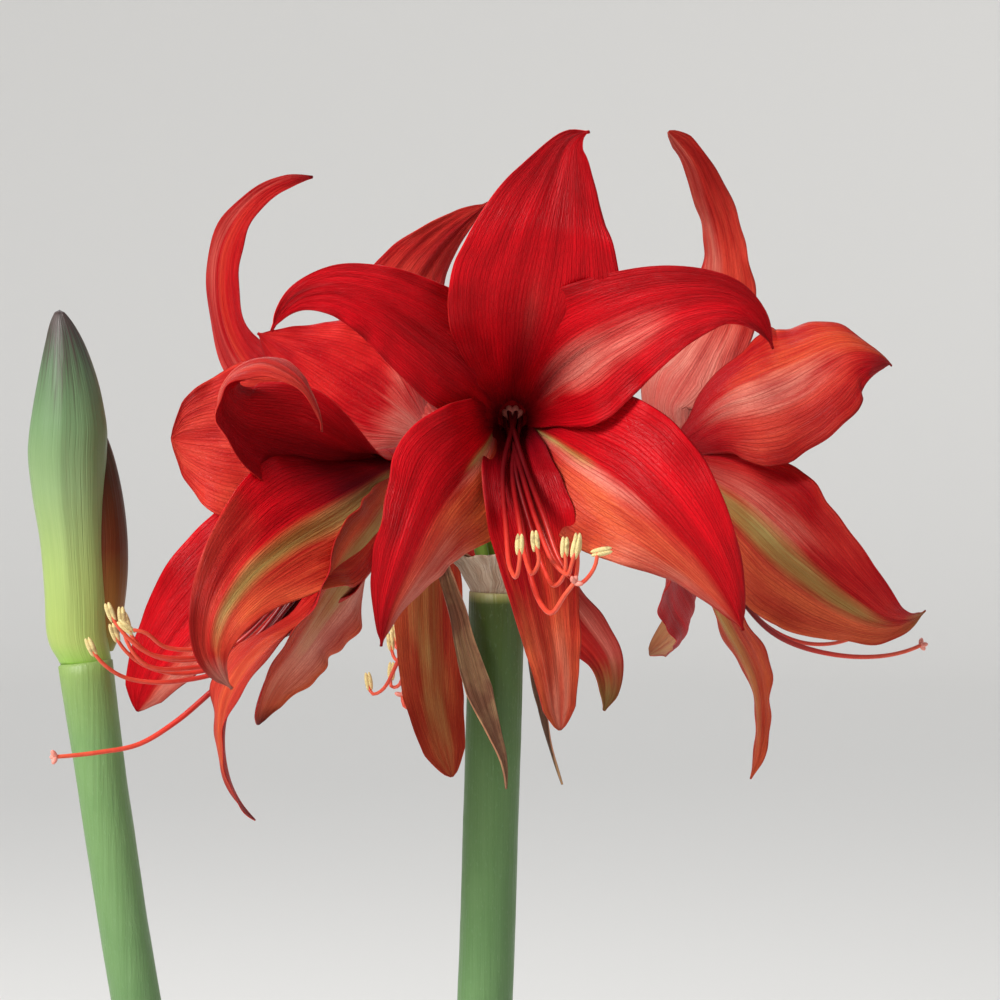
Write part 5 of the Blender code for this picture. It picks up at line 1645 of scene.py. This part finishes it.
# ---- bulb, soil and pot -----------------------------------------------------
@dataclass(frozen=True)
class Bulb:
    """The bulb: a plump body in papery tunics, with torn sleeves round its neck."""

    bottom: float = 72.0
    neck_height: float = 170.0
    flatness: float = 0.74
    core_inset: float = 1.6
    outline: tuple[tuple[float, float], ...] = (
        (72, 16), (77, 28), (88, 39), (104, 44.4), (118, 45), (130, 43.5), (142, 40), (153, 36), (162, 33.5),
        (168.5, 33), (170, 31.5))

    def reach(self, height: np.ndarray) -> np.ndarray:
        """Radius of the outline at a height."""
        heights = [z for z, _ in self.outline]
        return np.interp(height, heights, [r for _, r in self.outline])

    def squash(self, height: np.ndarray) -> np.ndarray:
        """How much the bulb is flattened along Y at a height."""
        return 1.0 + (self.flatness - 1.0) * np.clip((height - 128) / 30, 0, 1)

    def sleeve(self, name: str, low: float, top: float, inset: float, wall: float, tear: float, lot: int,
               span: tuple[float, float], finish: Finish) -> Piece:
        """A thin closed sleeve, or part of one, that follows the bulb's outline.

        Args:
            name: The piece's name.
            low: Height of its lower edge.
            top: Height of its upper edge.
            inset: How far it lies inside the outline.
            wall: Its thickness.
            tear: How ragged its upper edge is.
            lot: Its number, which sets its folds.
            span: Angles that it covers, in turns.
            finish: Its finish.

        Returns:
            The dressed piece.
        """
        rows, columns = 44, 161
        u = np.linspace(span[0], span[1], columns)[None, :] * 2 * np.pi
        v = np.linspace(0, 1, rows)[:, None]
        ragged = (np.sin(3 * u + lot) + 0.6 * np.sin(8 * u + 2 * lot) + 0.35 * np.sin(19 * u + lot)) * tear
        height = low + (top + ragged - low) * v
        folds = 0.35 * np.sin(11 * u + 2.2 * v + lot) + 0.22 * np.sin(29 * u + lot) + 0.5 * np.sin(2 * u + 3 * v + lot)
        radius = self.reach(height) - inset + folds * (0.4 + 0.6 * v)
        surface = np.stack([radius * np.cos(u), radius * np.sin(u) * self.squash(height), height], axis=2)
        along, across = np.broadcast_arrays(v, (u / np.pi) - 1)
        marks = {"along": along, "across": across, "lot": np.full(along.shape, 1.0 + lot)}
        sheets = Sheets()
        sheets.add(surface, np.full(along.shape, wall), marks, marks)
        return finish.dress(face_outwards(sheets.piece(name, ORIGIN)))

    def core(self) -> Piece:
        """The bulb's body, closed at its neck round the scapes."""
        rows, turn = 84, round_angles(128)
        heights = np.linspace(self.bottom + 0.3, self.neck_height - 5, rows)
        rings = []
        for height in heights:
            share = (height - self.bottom) / (self.neck_height - self.bottom)
            ribs = 0.30 * np.sin(23 * turn + 2 * share) + 0.5 * np.sin(5 * turn + 3 * share)
            radius = self.reach(height) - self.core_inset + ribs * min(1, 3 * share)
            rings.append(level_ring(radius, height, turn, self.squash(height)))
        for inset, drop in ((0.86, 0.5), (0.6, 1.5), (0.3, 2.0)):
            ring = rings[rows - 1].copy()
            ring[:, :2] *= inset
            ring[:, 2] -= drop
            rings.append(ring)
        points, faces = ring_body(rings, [(0, 0, self.bottom), (0, 0, self.neck_height - 7)])
        marks = ring_marks(len(rings), turn / np.pi - 1)
        return NECK.dress(face_outwards(mesh_piece("bulb_body", points, faces, ORIGIN, marks)))

    def build(self) -> list[Piece]:
        """The body and its tunics; the first stands for the CAD node."""
        sleeves = (("tunic_inner", 100, 166.5, 1.0, 0.5, 1.2, 1, (0.0, 0.999), TUNIC),
                   ("tunic_left", 96, 158, 0.1, 0.5, 2.6, 4, (0.30, 0.86), TUNIC),
                   ("tunic_right", 96, 150, -0.3, 0.5, 3.4, 7, (-0.22, 0.22), TUNIC),
                   ("neck_sleeve", 150, 168.5, 4.6, 0.8, 1.0, 2, (0.02, 0.98), NECK))
        return [self.core(), *(self.sleeve(*sleeve) for sleeve in sleeves)]


@dataclass(frozen=True)
class Soil:
    """Potting soil round the bulb, with crumbs and a little grit."""

    level: float = 117.0
    floor: float = 8.4
    inner: float = 43.2
    outer: float = 65.0
    pot_low: float = 49.0

    def bed(self) -> Piece:
        """The body of the soil, with an uneven top."""
        sides = 128
        turn = round_angles(sides)
        side = [(0.02, self.floor), (self.pot_low - 4.0, self.floor), (self.pot_low - 0.6, self.floor + 3),
                (self.pot_low + 5.4, 50), (self.pot_low + 11.2, 90), (self.outer - 0.4, self.level - 3),
                (self.outer - 1.0, self.level - 1.4)]
        rings = [level_ring(r, z, turn) for r, z in side]
        for r in np.linspace(self.outer - 2.5, self.inner, 20):
            uneven = (0.7 * np.sin(5 * turn + r / 4) + 0.5 * np.sin(11 * turn - r / 3)
                      + 0.4 * np.sin(r * 0.9 + 2 * turn) + 0.4 * np.sin(23 * turn + r))
            mound = 1.6 * math.sin(math.pi * (self.outer - r) / (self.outer - self.inner))
            height = self.level - 0.6 + mound + uneven * 0.7
            rings.append(level_ring(r, height, turn))
        rings.append(rings[-1] * (1, 1, 0) + (0, 0, self.level - 14))
        rings.append(rings[-1] * (0.01, 0.01, 1))
        points = np.concatenate(rings)
        faces = grid_faces(len(rings), sides, closed=True)
        count = len(points)
        faces.append(tuple(range(sides)))
        faces.append(tuple(range(count - sides, count)))
        return SOIL.dress(face_outwards(mesh_piece("soil_bed", points, faces)))

    def surface(self, name: str) -> Piece:
        """The ring that crumbs are strewn on.

        Args:
            name: The name of the piece that grows from it.

        Returns:
            The ring, undressed.
        """
        turn = round_angles(64)
        rings = [level_ring(r, self.level + z, turn)
                 for r, z in ((self.outer - 2.2, -0.6), (56.0, 0.9), (50.0, 1.2), (self.inner + 2.2, 0.3))]
        return mesh_piece(name, np.concatenate(rings), grid_faces(len(rings), len(turn), closed=True))

    def build(self, crumbs: GrowthTree) -> list[Piece]:
        """The bed, the crumbs and the grit.

        Args:
            crumbs: The tree that strews crumbs.

        Returns:
            The dressed pieces; the first stands for the CAD node.
        """
        fine = crumbs.grow(self.surface("soil_crumbs"), SOIL, Density=330000.0, Seed=3, Size=1.15 * MM)
        coarse = crumbs.grow(self.surface("soil_lumps"), SOIL, Density=34000.0, Seed=8, Size=2.3 * MM)
        grit = crumbs.grow(self.surface("perlite_grit"), GRIT, Density=9000.0, Seed=21, Size=1.2 * MM)
        return [self.bed(), fine, coarse, grit]


@dataclass(frozen=True)
class Pot:
    """A plain tapered clay pot with a rim band, turned from its outline."""

    height: float = 130.0
    top_radius: float = 74.0
    base_radius: float = 54.0
    wall: float = 6.0
    floor: float = 8.0
    rim_height: float = 26.0
    rim_step: float = 4.5
    rail: float = 10.0

    def outline(self) -> np.ndarray:
        """Radius and height along the wall's section, with rounded corners."""
        foot = self.height - self.rim_height
        body = self.top_radius - self.rim_step
        inner = self.top_radius - self.wall - 1.5
        low = self.base_radius - self.wall + 1.0
        corners = [(0, 0, 0), (self.base_radius - 0.6, 0, 1.6), (body, foot, 0.8),
                   (self.top_radius - 0.8, foot + 0.4, 1.4), (self.top_radius, self.height, 2.2),
                   (inner, self.height, 2.0), (low, self.floor, 3.5), (0, self.floor, 0)]
        points = []
        for k, (radius, height, bevel) in enumerate(corners):
            here = np.array((radius, height), float)
            if bevel == 0:
                points.append(here)
                continue
            before = here + unit(np.array(corners[k - 1][:2]) - here) * bevel
            after = here + unit(np.array(corners[k + 1][:2]) - here) * bevel
            for t in np.linspace(0, 1, 7):
                points.append((1 - t) ** 2 * before + 2 * t * (1 - t) * here + t * t * after)
        dense = [points[0]]
        for start, end in zip(points, points[1:]):
            steps = max(1, int(np.linalg.norm(end - start) // 3))
            dense += [start + (end - start) * k / steps for k in range(1, steps + 1)]
        return np.array(dense)

    def build(self, turned: GrowthTree) -> Piece:
        """The dressed pot.

        Args:
            turned: The tree that turns an outline.

        Returns:
            The piece.
        """
        outline = self.outline()
        points = np.stack([outline[:, 0] - self.rail, -outline[:, 1], np.zeros(len(outline))], axis=1)
        edges = [(k, k + 1) for k in range(len(points) - 1)]
        piece = mesh_piece("clay_pot", points, [], edges=edges)
        turned.grow(piece, CLAY, Sides=128, Rail=self.rail * MM)
        return face_outwards(piece)


# ---- stage ------------------------------------------------------------------
@dataclass(frozen=True)
class Studio:
    """Pale floor that curves up all round, soft lights, and the camera."""

    distance: float = 1.4
    elevation: float = 4.0
    target: Point = (0.035, 0.0, 0.56807)
    lens: float = 151.2
    floor_radius: float = 4.5
    bend: float = 2.0
    wall_top: float = 2.5
    lamps_at: Point = (0.03, 0, 0.5)
    lamps: tuple[tuple[str, Point, float, float, Colour], ...] = (
        ("key", (-1.25, -1.15, 1.75), 0.8, 42.0, (1.0, 0.985, 0.96)),
        ("fill", (2.1, -1.6, 0.9), 1.6, 3.0, (0.93, 0.96, 1.0)),
        ("rim", (-0.6, 1.9, 1.9), 1.2, 14.0, (1.0, 1.0, 1.0)))
    sun_from: Point = (-0.62, -0.5, 0.62)
    sun_power: float = 1.3
    sun_degrees: float = 14.0
    sky: Colour = (0.93, 0.96, 1.0)
    sky_power: float = 0.50

    def floor(self) -> None:
        """A wide floor whose rim curves up into a pale wall."""
        arc = [(self.floor_radius + self.bend * math.sin(a), self.bend - self.bend * math.cos(a))
               for a in np.linspace(0, math.pi / 2, 24)]
        steps = [(0.0, 0.0), (self.floor_radius, 0.0), *arc, (self.floor_radius + self.bend, self.wall_top)]
        sides = 96
        rings = [level_ring(max(r, 0.001), z, round_angles(sides)) for r, z in steps]
        points = np.concatenate(rings) / MM
        faces = [face[::-1] for face in grid_faces(len(rings), sides, closed=True)] + [tuple(range(sides))]
        floor = STAGE.dress(mesh_piece("floor", points, faces))

    def put(self, name: str, data: bpy.types.ID, place: Point, back: Point) -> Piece:
        """Places a lamp or the camera.

        Args:
            name: Its name.
            data: What it is.
            place: Where it stands, in metres.
            back: The way from what it looks at towards it.

        Returns:
            The object.
        """
        item = bpy.data.objects.new(name, data)
        item.location = place
        item.rotation_mode = "QUATERNION"
        item.rotation_quaternion = Vector(back).to_track_quat("Z", "Y")
        bpy.context.scene.collection.objects.link(item)
        return item

    def build(self) -> None:
        """Sets the stage, the lights, the sky and the camera."""
        scene = bpy.context.scene
        scene.view_settings.view_transform = "Standard"
        self.floor()
        for name, place, size, power, colour in self.lamps:
            lamp = bpy.data.lights.new(name, "AREA")
            lamp.size, lamp.energy, lamp.color = size, power, colour
            self.put(name, lamp, place, Vector(place) - Vector(self.lamps_at))
        sun = bpy.data.lights.new("sun", "SUN")
        sun.energy, sun.angle = self.sun_power, math.radians(self.sun_degrees)
        self.put("sun", sun, (0, 0, 0), self.sun_from)
        scene.world = bpy.data.worlds.new("sky")
        scene.world.use_nodes = True
        sky = next(node for node in scene.world.node_tree.nodes if node.type == "BACKGROUND")
        sky.inputs[0].default_value = (*self.sky, 1.0)
        sky.inputs[1].default_value = self.sky_power
        lens = bpy.data.cameras.new("camera")
        lens.lens, lens.sensor_width = self.lens, 36.0
        angle = math.radians(self.elevation)
        back = Vector((0, -math.cos(angle), math.sin(angle)))
        scene.camera = self.put("camera", lens, Vector(self.target) + back * self.distance, back)


# ---- the whole --------------------------------------------------------------
def join_plant(pieces: Sequence[Piece], node: str) -> None:
    """Makes pieces ride on the part, the first of them in place of a CAD node.

    Args:
        pieces: The pieces.
        node: The CAD node, whose name is also the record's material slot.
    """
    for k, piece in enumerate(pieces):
        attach(piece, BODY)
        if k == 0:
            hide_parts(node)
        LOG.info("%s: %d points for %s", piece.name, len(piece.data.vertices), node)


def main() -> None:
    """Builds the stage, then the plant from its blooms down to its pot."""
    logging.basicConfig(level=logging.INFO, format="%(name)s %(message)s")
    Studio().build()
    bars, lobes, crumbs, turned = bar_tree(), lobe_tree(), crumb_tree(), turned_tree()
    for bloom in BLOOMS:
        join_plant([bloom.petals(), bloom.tube(), bloom.fringe(lobes)], "bloom_" + bloom.name)
        join_plant(Stamens(bloom).build(bars, lobes), "stamens_" + bloom.name)
    join_plant([Stalks().build(bars)], "flower_stalks")
    spathe = Spathe()
    join_plant([spathe.bracts(), spathe.collar()], "spathe_bracts")
    for scape in SCAPES:
        join_plant([scape.build(bars)], scape.node)
    for valve, node in Bud().build():
        join_plant([valve], node)
    join_plant(Bulb().build(), "bulb")
    join_plant(Soil().build(crumbs), "soil")
    join_plant([Pot().build(turned)], "pot")


if __name__ == "__main__":
    main()
